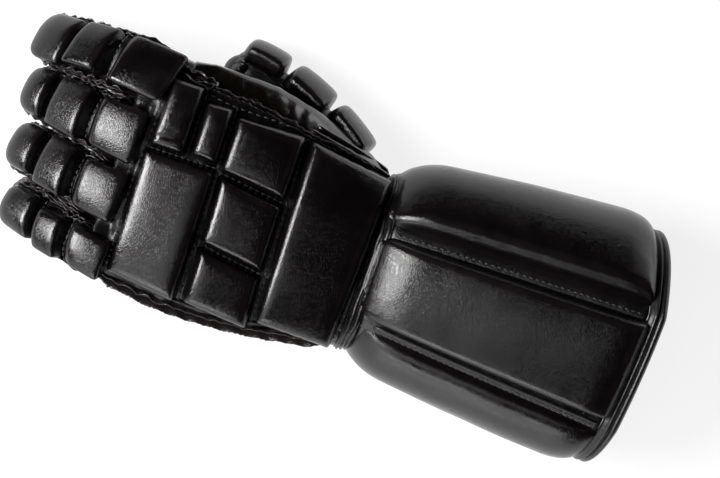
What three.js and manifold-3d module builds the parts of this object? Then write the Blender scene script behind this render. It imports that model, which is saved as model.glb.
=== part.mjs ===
// Padded stick-fighting glove for the left hand with a long forearm cuff, lying palm down.
// Millimetres, +Z up. The fingers point along -X, the thumb side is +Y, the back of the hand is up.
// The origin is the middle of the glove's outline on the surface that it lies on.
import * as THREE from 'three';
import * as BufferGeometryUtils from 'three/addons/utils/BufferGeometryUtils.js';
import Module from 'manifold-3d';

const wasm = await Module();
wasm.setup();

// Driving dimensions
const leatherWall = 2.2;
const seamGap = 0.3;
const padHeight = 9;
const fingerPadHeight = 8;
const webPlaneX = -113;
const wristPlaneX = 20;
const cuffStartX = 27;
const hemWidth = 9;
const handRoundness = 2.8;
const fingerRoundness = 2.5;
const fingerRoot = 20;
const frameShift = { x: 2.1, y: 0.8 };

// Hand body: a row for each section from the finger webs to the wrist.
// y and z: middle, a: half width, b: half height, roll: degrees that the thumb side is raised
const handSections = [
  { x: -113, y: -1.5, a: 59.0, z: 34.0, b: 16.5, roll: 5.0 },
  { x: -104, y: -3.0, a: 59.5, z: 34.0, b: 16.8, roll: 5.0 },
  { x: -92, y: -4.5, a: 59.5, z: 34.0, b: 17.0, roll: 5.0 },
  { x: -75, y: -6.0, a: 60.5, z: 33.5, b: 17.5, roll: 5.0 },
  { x: -52, y: -6.5, a: 60.5, z: 31.0, b: 19.0, roll: 4.5 },
  { x: -28, y: -8.0, a: 57.5, z: 28.0, b: 21.0, roll: 3.5 },
  { x: -4, y: -10.5, a: 51.5, z: 25.5, b: 22.8, roll: 2.0 },
  { x: 20, y: -13.5, a: 45.0, z: 23.6, b: 24.6, roll: 1.0 },
];

// Fingers: a row for each, with the middle line's height at the web, the two joints and the tip,
// and x at the joints and the tip. a and b: half width and half height at the web, tipA and tipB at
// the tip
const fingers = [
  {
    name: 'index', y: 43.0, tipY: 44.5, z: 37.5, a: 15.3, b: 14.6, tipA: 12.8, tipB: 10.6,
    jointX: -125, jointZ: 35.0, endJointX: -143, endJointZ: 23.0, tipX: -166, tipZ: 3.2,
  },
  {
    name: 'middle', y: 10.0, tipY: 17.5, z: 35.0, a: 15.0, b: 14.8, tipA: 12.6, tipB: 10.6,
    jointX: -123, jointZ: 32.6, endJointX: -141, endJointZ: 21.8, tipX: -165, tipZ: 3.4,
  },
  {
    name: 'ring', y: -20.8, tipY: -11.5, z: 32.4, a: 14.0, b: 14.5, tipA: 12.2, tipB: 10.4,
    jointX: -123, jointZ: 30.2, endJointX: -141, endJointZ: 20.2, tipX: -163, tipZ: 3.4,
  },
  {
    name: 'little', y: -48.8, tipY: -38.0, z: 29.8, a: 13.0, b: 13.4, tipA: 11.0, tipB: 9.8,
    jointX: -120, jointZ: 27.8, endJointX: -136, endJointZ: 19.2, tipX: -157, tipZ: 3.4,
  },
];

// Pads of each finger by their corners: root and tip are shares of the finger's length from the web,
// below 0 over the end of the hand, and thumb and little the edges towards the thumb and the little
// finger, in degrees round the finger, 90 being its back
const fingerPads = [
  {
    finger: 'index', name: 'pad_knuckle',
    rootThumb: -0.255, rootLittle: -0.1, tipThumb: 0.158, tipLittle: 0.188,
    thumbAtRoot: 42, littleAtRoot: 140, thumbAtTip: 30, littleAtTip: 132,
  },
  {
    finger: 'index', name: 'pad_middle',
    rootThumb: 0.178, rootLittle: 0.21, tipThumb: 0.495, tipLittle: 0.525,
    thumbAtRoot: 28, littleAtRoot: 128, thumbAtTip: 32, littleAtTip: 136,
  },
  {
    finger: 'index', name: 'pad_tip',
    rootThumb: 0.516, rootLittle: 0.546, tipThumb: 0.965, tipLittle: 0.965,
    thumbAtRoot: 30, littleAtRoot: 142, thumbAtTip: 22, littleAtTip: 150,
  },
  {
    finger: 'middle', name: 'pad_knuckle',
    rootThumb: -0.115, rootLittle: -0.155, tipThumb: 0.21, tipLittle: 0.184,
    thumbAtRoot: 34, littleAtRoot: 144, thumbAtTip: 44, littleAtTip: 142,
  },
  {
    finger: 'middle', name: 'pad_middle',
    rootThumb: 0.232, rootLittle: 0.206, tipThumb: 0.61, tipLittle: 0.585,
    thumbAtRoot: 38, littleAtRoot: 148, thumbAtTip: 33, littleAtTip: 150,
  },
  {
    finger: 'middle', name: 'pad_tip',
    rootThumb: 0.632, rootLittle: 0.607, tipThumb: 0.965, tipLittle: 0.965,
    thumbAtRoot: 36, littleAtRoot: 146, thumbAtTip: 30, littleAtTip: 155,
  },
  {
    finger: 'ring', name: 'pad_knuckle',
    rootThumb: -0.11, rootLittle: -0.155, tipThumb: 0.22, tipLittle: 0.165,
    thumbAtRoot: 30, littleAtRoot: 146, thumbAtTip: 46, littleAtTip: 150,
  },
  {
    finger: 'ring', name: 'pad_middle',
    rootThumb: 0.242, rootLittle: 0.188, tipThumb: 0.58, tipLittle: 0.54,
    thumbAtRoot: 34, littleAtRoot: 148, thumbAtTip: 27, littleAtTip: 158,
  },
  {
    finger: 'ring', name: 'pad_tip',
    rootThumb: 0.602, rootLittle: 0.563, tipThumb: 0.965, tipLittle: 0.965,
    thumbAtRoot: 30, littleAtRoot: 146, thumbAtTip: 26, littleAtTip: 155,
  },
  {
    finger: 'little', name: 'pad_knuckle',
    rootThumb: -0.12, rootLittle: -0.2, tipThumb: 0.155, tipLittle: 0.065,
    thumbAtRoot: 38, littleAtRoot: 150, thumbAtTip: 56, littleAtTip: 156,
  },
  {
    finger: 'little', name: 'pad_middle',
    rootThumb: 0.179, rootLittle: 0.09, tipThumb: 0.49, tipLittle: 0.41,
    thumbAtRoot: 46, littleAtRoot: 164, thumbAtTip: 56, littleAtTip: 170,
  },
  {
    finger: 'little', name: 'pad_tip',
    rootThumb: 0.514, rootLittle: 0.436, tipThumb: 0.965, tipLittle: 0.965,
    thumbAtRoot: 46, littleAtRoot: 166, thumbAtTip: 50, littleAtTip: 172,
  },
];

// Thumb: a row for each section of its middle line, from inside the hand to the tip
const thumbSections = [
  { x: 6, y: 15, z: 20.0, a: 15.0, b: 15.5 },
  { x: -6, y: 28, z: 17.5, a: 15.0, b: 14.8 },
  { x: -20, y: 39, z: 15.0, a: 14.2, b: 13.6 },
  { x: -38, y: 49, z: 13.2, a: 13.2, b: 12.6 },
  { x: -58, y: 56.5, z: 11.4, a: 12.2, b: 11.6 },
  { x: -78, y: 60.5, z: 10.2, a: 10.8, b: 10.4 },
];

// Pads of the thumb: shares of its middle line, and degrees up from its outer side
const thumbPads = [
  { name: 'thumb_pad_root', from: 0.175, to: 0.432, low: -24, high: 60 },
  { name: 'thumb_pad_middle', from: 0.448, to: 0.7, low: -24, high: 72 },
  { name: 'thumb_pad_tip', from: 0.716, to: 0.945, low: -24, high: 62 },
];

// Pads of the back of the hand, by their corners seen from above: a and b at the thumb end, c and d
// at the little-finger end, a and c at the finger side, b and d at the wrist side
const backPads = [
  {
    name: 'index_knuckle_pad', aX: -99.6, aY: 44.2, bX: -82.1, bY: 43.9,
    cX: -100.4, cY: 8.1, dX: -82.3, dY: 7.9,
  },
  {
    name: 'knuckle_bar', aX: -101.4, aY: 7.0, bX: -65.4, bY: 6.9,
    cX: -100.9, cY: -57.6, dX: -64.4, dY: -61.8,
  },
  {
    name: 'index_hand_pad', aX: -81.1, aY: 37.9, bX: -65.7, bY: 38.8,
    cX: -80.9, cY: 9.6, dX: -65.9, dY: 8.1,
  },
  {
    name: 'thumb_side_pad', aX: -64.7, aY: 36.0, bX: -27.8, bY: 37.0,
    cX: -64.6, cY: 6.9, dX: -28.2, dY: 2.1,
  },
  {
    name: 'middle_hand_pad', aX: -63.6, aY: 5.9, bX: -27.8, bY: 1.1,
    cX: -62.4, cY: -30.0, dX: -27.4, dY: -34.9,
  },
  {
    name: 'little_side_pad', aX: -61.8, aY: -31.0, bX: -27.0, bY: -35.9,
    cX: -62.0, cY: -60.2, dX: -25.6, dY: -62.8,
  },
  {
    name: 'wrist_pad', aX: -26.5, aY: 36.4, bX: 18.4, bY: 28.4,
    cX: -23.9, cY: -58.6, dX: 14.4, dY: -58.1,
  },
];

// Thumb web gusset: the strip between the back of the hand and the thumb, by the angles of its two
// edges on the hand's section, 0 being the thumb side and 90 the back
const gussetRows = [
  { x: -94, high: 30, low: -8 },
  { x: -64, high: 33, low: -22 },
  { x: -25, high: 36, low: -22 },
  { x: 4, high: 24, low: -16 },
  { x: 18, high: 15, low: -10 },
];
const gussetHeight = 3;

// Seams with raw edges, as ribs on the hand's section
const seamRibs = {
  thumb_side_seam: { fromX: -80, toX: 17, above: 4.5, width: 1.8, height: 3.2, waves: 4, wave: 0.5, lean: 0.8 },
  little_side_seam: { fromX: -106, toX: 17, angle: 168, width: 2.6, height: 4.2, waves: 6, wave: 0.7, lean: 0.1 },
};

// Wrist binding: heights of its folded edges over the wrist, from the hand to the cuff
const bindingFolds = [0.8, 2.8, 1.2, 3.0, 1.0];
const wristMiddle = { y: -11.5, z: 25 };
const bindingTurn = 22;

// Cuff: corners of the base tube's section at the wrist and at the mouth
const cuffCorners = {
  ridge: { y: 5.5, z: 54.0, mouthY: 7.0, mouthZ: 75.0 },
  thumbSide: { y: 33.0, z: 33.0, mouthY: 44.5, mouthZ: 43.0 },
  thumbFoot: { y: 25.0, z: 0.0, mouthY: 33.0, mouthZ: 0.0 },
  littleFoot: { y: -48.0, z: 0.0, mouthY: -57.0, mouthZ: 0.0 },
  littleSide: { y: -57.0, z: 24.0, mouthY: -71.5, mouthZ: 34.0 },
  edge: { y: -41.0, z: 46.0, mouthY: -53.0, mouthZ: 61.0 },
};
const cuffPanels = [
  { name: 'back', from: 'edge', to: 'ridge', via: null, bulge: 2.0, steps: 5 },
  { name: 'thumb', from: 'ridge', to: 'thumbFoot', via: 'thumbSide', bulge: 0, steps: 7 },
  { name: 'floor', from: 'thumbFoot', to: 'littleFoot', via: null, bulge: 0, steps: 4 },
  { name: 'little', from: 'littleFoot', to: 'edge', via: 'littleSide', bulge: 0, steps: 7 },
];
const cuffPads = [
  { name: 'cuff_pad_back', panel: 'back', from: 0.06, to: 0.94, steps: 3 },
  { name: 'cuff_pad_thumb_side', panel: 'thumb', from: 0.04, to: 0.86, steps: 5 },
  { name: 'cuff_pad_little_side', panel: 'little', from: 0.16, to: 0.89, steps: 5 },
];
const rimLowX = 157.5;
const rimRise = 13.0;
const rimTopZ = 84;
const cuffPadWristHeight = 5.5;
const cuffPadFullX = 52;

// Finishes
const padLeather = new THREE.MeshStandardMaterial({ color: 0x1b1a1b, roughness: 0.42, metalness: 0 });
const bodyLeather = new THREE.MeshStandardMaterial({ color: 0x151415, roughness: 0.5, metalness: 0 });
const glossLeather = new THREE.MeshStandardMaterial({ color: 0x121112, roughness: 0.28, metalness: 0 });
const bindingTape = new THREE.MeshStandardMaterial({ color: 0x141314, roughness: 0.6, metalness: 0 });

const glove = new THREE.Group();
glove.position.set(frameShift.x, frameShift.y, 0);

// A row of a table at a place between its rows, on a smooth curve through every column
function rowAt(rows, key, value) {
  const rising = rows[rows.length - 1][key] > rows[0][key];
  let i = 0;
  while (i < rows.length - 2 && (rising ? value > rows[i + 1][key] : value < rows[i + 1][key])) {
    i += 1;
  }
  const before = rows[Math.max(i - 1, 0)];
  const start = rows[i];
  const end = rows[i + 1];
  const after = rows[Math.min(i + 2, rows.length - 1)];
  const span = end[key] - start[key];
  const t = (value - start[key]) / span;
  const result = {};
  for (const column of Object.keys(start)) {
    const slopeIn = (end[column] - before[column]) / (end[key] - before[key]) * span;
    const slopeOut = (after[column] - start[column]) / (after[key] - start[key]) * span;
    result[column] = (2 * t ** 3 - 3 * t ** 2 + 1) * start[column]
      + (t ** 3 - 2 * t ** 2 + t) * slopeIn
      + (3 * t ** 2 - 2 * t ** 3) * end[column]
      + (t ** 3 - t ** 2) * slopeOut;
  }
  return result;
}

// A point of a rounded-square section with half sizes a and b, turned by the angle
function roundedPoint(a, b, angle, roundness) {
  const c = Math.cos(angle);
  const s = Math.sin(angle);
  return {
    side: Math.sign(c) * Math.abs(c) ** (2 / roundness) * a,
    rise: Math.sign(s) * Math.abs(s) ** (2 / roundness) * b,
  };
}

// A closed body through rings of equal counts, its ends closed by fans
function loft(rings) {
  const count = rings[0].length;
  const positions = [];
  const faces = [];
  for (const ring of rings) {
    for (const point of ring) {
      positions.push(point.x, point.y, point.z);
    }
  }
  for (let r = 0; r < rings.length - 1; r += 1) {
    for (let i = 0; i < count; i += 1) {
      const a = r * count + i;
      const b = r * count + (i + 1) % count;
      faces.push(a, b, b + count, a, b + count, a + count);
    }
  }
  for (const end of [0, rings.length - 1]) {
    const middle = new THREE.Vector3();
    rings[end].forEach((point) => middle.add(point));
    middle.divideScalar(count);
    positions.push(middle.x, middle.y, middle.z);
    const hub = positions.length / 3 - 1;
    for (let i = 0; i < count; i += 1) {
      const a = end * count + i;
      const b = end * count + (i + 1) % count;
      faces.push(...(end === 0 ? [b, a, hub] : [a, b, hub]));
    }
  }
  return closedGeometry(positions, faces);
}

function closedGeometry(positions, faces) {
  const geometry = new THREE.BufferGeometry();
  geometry.setAttribute('position', new THREE.Float32BufferAttribute(positions, 3));
  geometry.setIndex(faces);
  return geometry;
}

// A geometry as a solid that can be joined and cut; turned inside out where its faces point in
function solid(geometry) {
  const merged = BufferGeometryUtils.mergeVertices(geometry, 1e-4);
  const vertices = merged.attributes.position.array;
  const faces = Uint32Array.from(merged.index.array);
  let volume = 0;
  for (let f = 0; f < faces.length; f += 3) {
    const [a, b, c] = [0, 1, 2].map((k) => new THREE.Vector3().fromArray(vertices, faces[f + k] * 3));
    volume += a.dot(b.cross(c));
  }
  if (volume < 0) {
    for (let f = 0; f < faces.length; f += 3) {
      [faces[f + 1], faces[f + 2]] = [faces[f + 2], faces[f + 1]];
    }
  }
  const mesh = new wasm.Mesh({ numProp: 3, vertProperties: Float32Array.from(vertices), triVerts: faces });
  mesh.merge();
  return new wasm.Manifold(mesh);
}

// Adds a solid to the glove as a named piece; crumbs that a cut leaves are dropped
function addPiece(name, body, material) {
  const parts = body.decompose().sort((a, b) => b.volume() - a.volume());
  const mesh = parts[0].getMesh();
  const geometry = closedGeometry(Array.from(mesh.vertProperties), Array.from(mesh.triVerts));
  const piece = new THREE.Mesh(geometry, material);
  piece.name = name;
  glove.add(piece);
}

// Hand body
const handTurn = 24;

function handRing(x, grow, floor) {
  const row = rowAt(handSections, 'x', x);
  const roll = THREE.MathUtils.degToRad(row.roll);
  const ring = [];
  for (let i = 0; i < handTurn; i += 1) {
    const { side, rise } = roundedPoint(row.a + grow, row.b + grow, i / handTurn * 2 * Math.PI, handRoundness);
    const y = row.y + side * Math.cos(roll) - rise * Math.sin(roll);
    const z = row.z + side * Math.sin(roll) + rise * Math.cos(roll);
    ring.push(new THREE.Vector3(x, y, Math.max(z, floor)));
  }
  return ring;
}

function handBody(grow, floor, startX, endX) {
  const inner = handSections.map((row) => row.x).filter((x) => x > startX + 1 && x < endX - 1);
  const rings = [startX, ...inner, endX].map((x) => {
    const clamped = THREE.MathUtils.clamp(x, webPlaneX, wristPlaneX);
    return handRing(clamped, grow, floor).map((point) => point.setX(x));
  });
  return solid(loft(rings));
}

// Height of the back of the hand over a place seen from above
function backHeight(x, y) {
  const row = rowAt(handSections, 'x', x);
  const roll = THREE.MathUtils.degToRad(row.roll);
  const side = (y - row.y) / Math.cos(roll);
  const share = Math.min(Math.abs(side / row.a), 0.999);
  const rise = row.b * (1 - share ** handRoundness) ** (1 / handRoundness);
  return row.z + side * Math.sin(roll) + rise * Math.cos(roll);
}

// Fingers
const fingerTurn = 12;
const padFan = 0.6;
const fingerStations = [0, 0.16, 0.32, 0.47, 0.6, 0.72, 0.84, 0.93, 1];
const tipRoundingStart = 0.74;

// Middle line of a finger, from inside the hand through its web, two joints and tip
function fingerCurve(finger) {
  const sideways = (x) => THREE.MathUtils.mapLinear(x, webPlaneX, finger.tipX, finger.y, finger.tipY);
  const rootX = webPlaneX + fingerRoot;
  const rootZ = backHeight(rootX, sideways(rootX)) - finger.b;
  return new THREE.CatmullRomCurve3([
    new THREE.Vector3(rootX, sideways(rootX), rootZ),
    new THREE.Vector3(webPlaneX - seamGap, finger.y, finger.z),
    new THREE.Vector3(finger.jointX, sideways(finger.jointX), finger.jointZ),
    new THREE.Vector3(finger.endJointX, sideways(finger.endJointX), finger.endJointZ),
    new THREE.Vector3(finger.tipX, finger.tipY, finger.tipZ),
  ], false, 'centripetal');
}

// Length of a finger's middle line before the web and after it
function fingerLengths(curve) {
  const lengths = curve.getLengths(200);
  return { before: lengths[50], after: lengths[200] - lengths[50] };
}

// Place, across and upward directions and half sizes of a finger's section at a share of its length
// from the web
function fingerSection(finger, curve, share) {
  const { before, after } = fingerLengths(curve);
  const onLine = THREE.MathUtils.clamp((before + share * after) / (before + after), 0, 1);
  const place = curve.getPointAt(onLine);
  const along = curve.getTangentAt(onLine);
  const across = new THREE.Vector3(along.y, -along.x, 0).normalize();
  const up = new THREE.Vector3().crossVectors(across, along).normalize();
  if (up.z < 0) up.negate();
  const late = Math.max(0, (share - tipRoundingStart) / (1 - tipRoundingStart));
  const rounding = Math.sqrt(Math.max(0.04, 1 - late ** 2.2));
  const outward = Math.max(share, 0);
  const a = THREE.MathUtils.lerp(finger.a, finger.tipA, outward) * rounding;
  const b = THREE.MathUtils.lerp(finger.b, finger.tipB, outward) * rounding;
  return { place, across, up, a, b };
}

function fingerRing(section, grow, floor) {
  const ring = [];
  for (let i = 0; i < fingerTurn; i += 1) {
    const angle = i / fingerTurn * 2 * Math.PI;
    const a = Math.max(section.a + grow, 0.6);
    const b = Math.max(section.b + grow, 0.6);
    const { side, rise } = roundedPoint(a, b, angle, fingerRoundness);
    const point = section.place.clone().addScaledVector(section.across, side).addScaledVector(section.up, rise);
    point.z = Math.max(point.z, floor);
    ring.push(point);
  }
  return ring;
}

function fingerBody(finger, grow, floor, lead) {
  const curve = fingerCurve(finger);
  const endShare = grow < 0 ? 0.95 : 1;
  const rings = fingerStations.map((share) => {
    return fingerRing(fingerSection(finger, curve, share * endShare), grow, floor);
  });
  const upright = { across: new THREE.Vector3(0, 1, 0), up: new THREE.Vector3(0, 0, 1) };
  const web = { ...fingerSection(finger, curve, 0), ...upright };
  rings[0] = fingerRing(web, grow, floor);
  if (lead > 0) {
    rings.unshift(rings[0].map((point) => point.clone().setX(webPlaneX + lead)));
  }
  return solid(loft(rings));
}

// Thumb
const thumbTurn = 12;
const thumbPadWidth = 18;
const thumbStations = [0, 0.2, 0.36, 0.52, 0.66, 0.78, 0.88, 0.95, 1];
const thumbCurve = new THREE.CatmullRomCurve3(
  thumbSections.map((row) => new THREE.Vector3(row.x, row.y, row.z)),
  false,
  'centripetal',
);

function thumbSection(share) {
  const place = thumbCurve.getPointAt(share);
  const along = thumbCurve.getTangentAt(share);
  const across = new THREE.Vector3(along.y, -along.x, 0).normalize();
  const up = new THREE.Vector3().crossVectors(across, along).normalize();
  if (up.z < 0) up.negate();
  const row = rowAt(thumbSections, 'x', place.x);
  const roundingStart = 0.84;
  const late = Math.max(0, (share - roundingStart) / (1 - roundingStart));
  const rounding = Math.sqrt(Math.max(0.04, 1 - late ** 2.2));
  return { place, across, up, a: row.a * rounding, b: row.b * rounding };
}

function thumbBody(grow, floor) {
  const endShare = grow < 0 ? 0.965 : 1;
  return solid(loft(thumbStations.map((station) => {
    const section = thumbSection(station * endShare);
    const ring = [];
    for (let i = 0; i < thumbTurn; i += 1) {
      const angle = i / thumbTurn * 2 * Math.PI;
      const a = Math.max(section.a + grow, 0.6);
      const b = Math.max(section.b + grow, 0.6);
      const { side, rise } = roundedPoint(a, b, angle, fingerRoundness);
      const point = section.place.clone().addScaledVector(section.across, side);
      point.addScaledVector(section.up, rise);
      point.z = Math.max(point.z, floor);
      ring.push(point);
    }
    return ring;
  })));
}

// A pad: a crowned block over a surface, its edges stepped in as it rises. surface(u, v) gives a point
// and its outward direction, lengthU and lengthV are its sizes, height(u) how far it stands up,
// edgeU and edgeV how its ends and its sides rise, stepsU and stepsV the spans between its edges
const broadEdge = { insets: [0, 1.4, 4.0], shares: [0.42, 0.86, 1.0] };
const smallEdge = { insets: [0, 2.6], shares: [0.45, 1.0] };
const wrappedEdge = { insets: [0, 5.5], shares: [0.1, 0.8] };
const crown = 0.9;
const padRoot = 3.5;

function padBody(surface, lengthU, lengthV, height, edgeU, edgeV, stepsU, stepsV) {
  const places = (length, edge, steps) => {
    const insets = edge.insets.map((inset) => Math.min(inset / length, 0.4));
    const first = insets[insets.length - 1];
    const between = [];
    for (let k = 1; k < steps; k += 1) {
      between.push(THREE.MathUtils.lerp(first, 1 - first, k / steps));
    }
    return [...insets, ...between, ...insets.map((inset) => 1 - inset).reverse()];
  };
  const us = places(lengthU, edgeU, stepsU);
  const vs = places(lengthV, edgeV, stepsV);
  const lastU = us.length - 1;
  const lastV = vs.length - 1;
  const positions = [];
  const faces = [];
  const cornerCut = 1.1;
  const push = (i, j, lift) => {
    let u = us[i];
    let v = vs[j];
    if ((i === 0 || i === lastU) && (j === 0 || j === lastV)) {
      u += (i === 0 ? 1 : -1) * cornerCut / lengthU;
      v += (j === 0 ? 1 : -1) * cornerCut / lengthV;
    }
    const { point, out } = surface(u, v);
    positions.push(...point.clone().addScaledVector(out, lift(u)).toArray());
  };
  for (let i = 0; i <= lastU; i += 1) {
    for (let j = 0; j <= lastV; j += 1) {
      const stepU = Math.min(i, lastU - i);
      const stepV = Math.min(j, lastV - j);
      const share = Math.min(edgeU.shares[stepU] ?? 1, edgeV.shares[stepV] ?? 1);
      const extra = stepU < edgeU.shares.length || stepV < edgeV.shares.length ? 0 : crown;
      push(i, j, (u) => height(u) * share + extra);
    }
  }
  for (let i = 0; i <= lastU; i += 1) {
    for (let j = 0; j <= lastV; j += 1) {
      push(i, j, () => -padRoot);
    }
  }
  const row = lastV + 1;
  const under = (lastU + 1) * row;
  for (let i = 0; i < lastU; i += 1) {
    for (let j = 0; j < lastV; j += 1) {
      const a = i * row + j;
      const b = under + a;
      faces.push(a, a + row, a + row + 1, a, a + row + 1, a + 1);
      faces.push(b, b + row + 1, b + row, b, b + 1, b + row + 1);
    }
  }
  const rim = [];
  for (let k = 0; k < lastU; k += 1) rim.push(k * row);
  for (let k = 0; k < lastV; k += 1) rim.push(lastU * row + k);
  for (let k = lastU; k > 0; k -= 1) rim.push(k * row + lastV);
  for (let k = lastV; k > 0; k -= 1) rim.push(k);
  rim.forEach((a, k) => {
    const b = rim[(k + 1) % rim.length];
    faces.push(a, under + a, under + b, a, under + b, b);
  });
  return solid(closedGeometry(positions, faces));
}

// A point of the hand's section and the outward direction there
function handPlace(x, angleDegrees) {
  const row = rowAt(handSections, 'x', x);
  const roll = THREE.MathUtils.degToRad(row.roll);
  const at = (degrees) => {
    const { side, rise } = roundedPoint(row.a, row.b, THREE.MathUtils.degToRad(degrees), handRoundness);
    const y = row.y + side * Math.cos(roll) - rise * Math.sin(roll);
    const z = row.z + side * Math.sin(roll) + rise * Math.cos(roll);
    return new THREE.Vector3(x, y, z);
  };
  const point = at(angleDegrees);
  const run = at(angleDegrees + 2).sub(at(angleDegrees - 2));
  return { point, out: new THREE.Vector3(0, run.z, -run.y).normalize() };
}

// A rib along a row of places, standing out from them, its width waving from side to side
function ribBody(places, width, height, wave, waves) {
  return solid(loft(places.map(({ point, out }, k) => {
    const next = places[Math.min(k + 1, places.length - 1)].point;
    const last = places[Math.max(k - 1, 0)].point;
    const across = new THREE.Vector3().crossVectors(next.clone().sub(last).normalize(), out).normalize();
    const shift = wave * Math.sin(k / (places.length - 1) * waves * 2 * Math.PI);
    const corner = (side, lift, sway) => point.clone()
      .addScaledVector(across, side * width / 2 + sway)
      .addScaledVector(out, lift);
    return [corner(-1, -padRoot, 0), corner(1, -padRoot, 0), corner(0.8, height, shift), corner(-0.8, height, shift)];
  })));
}

// Cuff
const cuffLength = rimLowX - cuffStartX;

function cuffCorner(name, share) {
  const corner = cuffCorners[name];
  const opened = share ** 0.82;
  return new THREE.Vector2(
    THREE.MathUtils.lerp(corner.y, corner.mouthY, opened),
    THREE.MathUtils.lerp(corner.z, corner.mouthZ, opened),
  );
}

// A point of a cuff panel's section, v from its first corner to its last
function panelPoint(panel, share, v) {
  const start = cuffCorner(panel.from, share);
  const end = cuffCorner(panel.to, share);
  if (panel.via) {
    const via = cuffCorner(panel.via, share);
    const handle = via.clone().multiplyScalar(2).sub(start.clone().add(end).multiplyScalar(0.5));
    const bow = new THREE.QuadraticBezierCurve(start, handle, end);
    return bow.getPoint(v);
  }
  const outward = new THREE.Vector2(end.y - start.y, start.x - end.x).normalize().negate();
  return start.lerp(end, v).addScaledVector(outward, panel.bulge * 4 * v * (1 - v));
}

function rimX(z) {
  return rimLowX + rimRise * (Math.max(z, 0) / rimTopZ) ** 1.5;
}

// Outward direction of a closed ring at each of its points
function grownRing(points, grow) {
  const count = points.length;
  return points.map((point, i) => {
    const before = points[(i + count - 1) % count];
    const after = points[(i + 1) % count];
    const out = new THREE.Vector2(before.y - after.y, after.x - before.x).normalize();
    return point.clone().addScaledVector(out, grow);
  });
}

function cuffRing(share, grow, floor) {
  const points = [];
  for (const panel of cuffPanels) {
    for (let k = 0; k < panel.steps; k += 1) {
      points.push(panelPoint(panel, share, k / panel.steps));
    }
  }
  return grownRing(points, grow).map((point) => new THREE.Vector2(point.x, Math.max(point.y, floor)));
}

// The tube from the wrist to the hem, carried past both ends by the overrun
function cuffBody(grow, floor, overrun) {
  const shares = [0, 0.12, 0.3, 0.55, 0.8, 1];
  const rings = shares.map((share) => {
    return cuffRing(share, grow, floor).map((point) => {
      const endX = rimX(point.y) - hemWidth - seamGap;
      return new THREE.Vector3(THREE.MathUtils.lerp(cuffStartX, endX, share), point.x, point.y);
    });
  });
  if (overrun > 0) {
    const shifted = (ring, dx) => ring.map((point) => point.clone().add(new THREE.Vector3(dx, 0, 0)));
    rings.unshift(shifted(rings[0], -overrun));
    rings.push(shifted(rings[rings.length - 1], overrun));
  }
  return solid(loft(rings));
}

// Ring solid between an outer and an inner chain of rings
function sleeveBody(outerRings, innerRings) {
  return solid(loft(outerRings)).subtract(solid(loft(innerRings)));
}

const handGrown = handBody(seamGap, -seamGap, webPlaneX - seamGap, wristPlaneX + 12);
const thumbGrown = thumbBody(seamGap, -seamGap);
const fingerHollows = fingers.map((finger) => fingerBody(finger, -leatherWall, leatherWall, 8));
const thumbHollow = thumbBody(-leatherWall, leatherWall);

function addHand() {
  let shell = handBody(0, 0, webPlaneX, wristPlaneX);
  shell = shell.subtract(handBody(-leatherWall, leatherWall, webPlaneX + leatherWall, wristPlaneX + 5));
  for (const hollow of fingerHollows) {
    shell = shell.subtract(hollow);
  }
  shell = shell.subtract(thumbHollow);
  const reach = 90;
  const tall = 90;
  const slab = (offset) => {
    const stations = [webPlaneX - 5, ...handSections.slice(1, -1).map((row) => row.x), wristPlaneX + 5];
    return solid(loft(stations.map((x) => {
      const row = rowAt(handSections, 'x', THREE.MathUtils.clamp(x, webPlaneX, wristPlaneX));
      const rise = Math.sin(THREE.MathUtils.degToRad(row.roll)) * reach;
      return [
        new THREE.Vector3(x, row.y - reach, row.z - rise + offset),
        new THREE.Vector3(x, row.y + reach, row.z + rise + offset),
        new THREE.Vector3(x, row.y + reach, row.z + rise + tall),
        new THREE.Vector3(x, row.y - reach, row.z - rise + tall),
      ];
    })));
  };
  addPiece('back_leather', shell.intersect(slab(seamGap / 2)), bodyLeather);
  addPiece('palm_leather', shell.subtract(slab(-seamGap / 2)), bodyLeather);
}

function addFingers() {
  fingers.forEach((finger, index) => {
    const sleeve = fingerBody(finger, 0, 0, 0).subtract(fingerHollows[index]);
    addPiece(`${finger.name}_sleeve`, sleeve, bodyLeather);
    const grown = fingerBody(finger, seamGap, -seamGap, 0);
    const curve = fingerCurve(finger);
    const length = fingerLengths(curve).after;
    for (const pad of fingerPads.filter((row) => row.finger === finger.name)) {
      const middle = (pad.thumbAtRoot + pad.thumbAtTip + pad.littleAtRoot + pad.littleAtTip) / 4;
      const surface = (u, v) => {
        const root = THREE.MathUtils.lerp(pad.rootThumb, pad.rootLittle, v);
        const tip = THREE.MathUtils.lerp(pad.tipThumb, pad.tipLittle, v);
        const section = fingerSection(finger, curve, THREE.MathUtils.lerp(root, tip, u));
        const thumbEdge = THREE.MathUtils.lerp(pad.thumbAtRoot, pad.thumbAtTip, u);
        const littleEdge = THREE.MathUtils.lerp(pad.littleAtRoot, pad.littleAtTip, u);
        const degrees = THREE.MathUtils.lerp(thumbEdge, littleEdge, v);
        const angle = THREE.MathUtils.degToRad(degrees);
        const { side, rise } = roundedPoint(section.a, section.b, angle, fingerRoundness);
        const lean = THREE.MathUtils.degToRad(middle + padFan * (degrees - middle));
        const out = section.across.clone().multiplyScalar(Math.cos(lean));
        out.addScaledVector(section.up, Math.sin(lean)).normalize();
        const point = section.place.clone().addScaledVector(section.across, side);
        return { point: point.addScaledVector(section.up, rise), out };
      };
      const padLength = ((pad.tipThumb - pad.rootThumb + pad.tipLittle - pad.rootLittle) / 2) * length;
      const padWidth = THREE.MathUtils.degToRad(pad.littleAtRoot - pad.thumbAtRoot) * finger.a;
      const body = padBody(surface, padLength, padWidth, () => fingerPadHeight, smallEdge, wrappedEdge, 2, 3);
      addPiece(`${finger.name}_${pad.name}`, body.subtract(grown).subtract(handGrown), padLeather);
    }
  });
}

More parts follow.
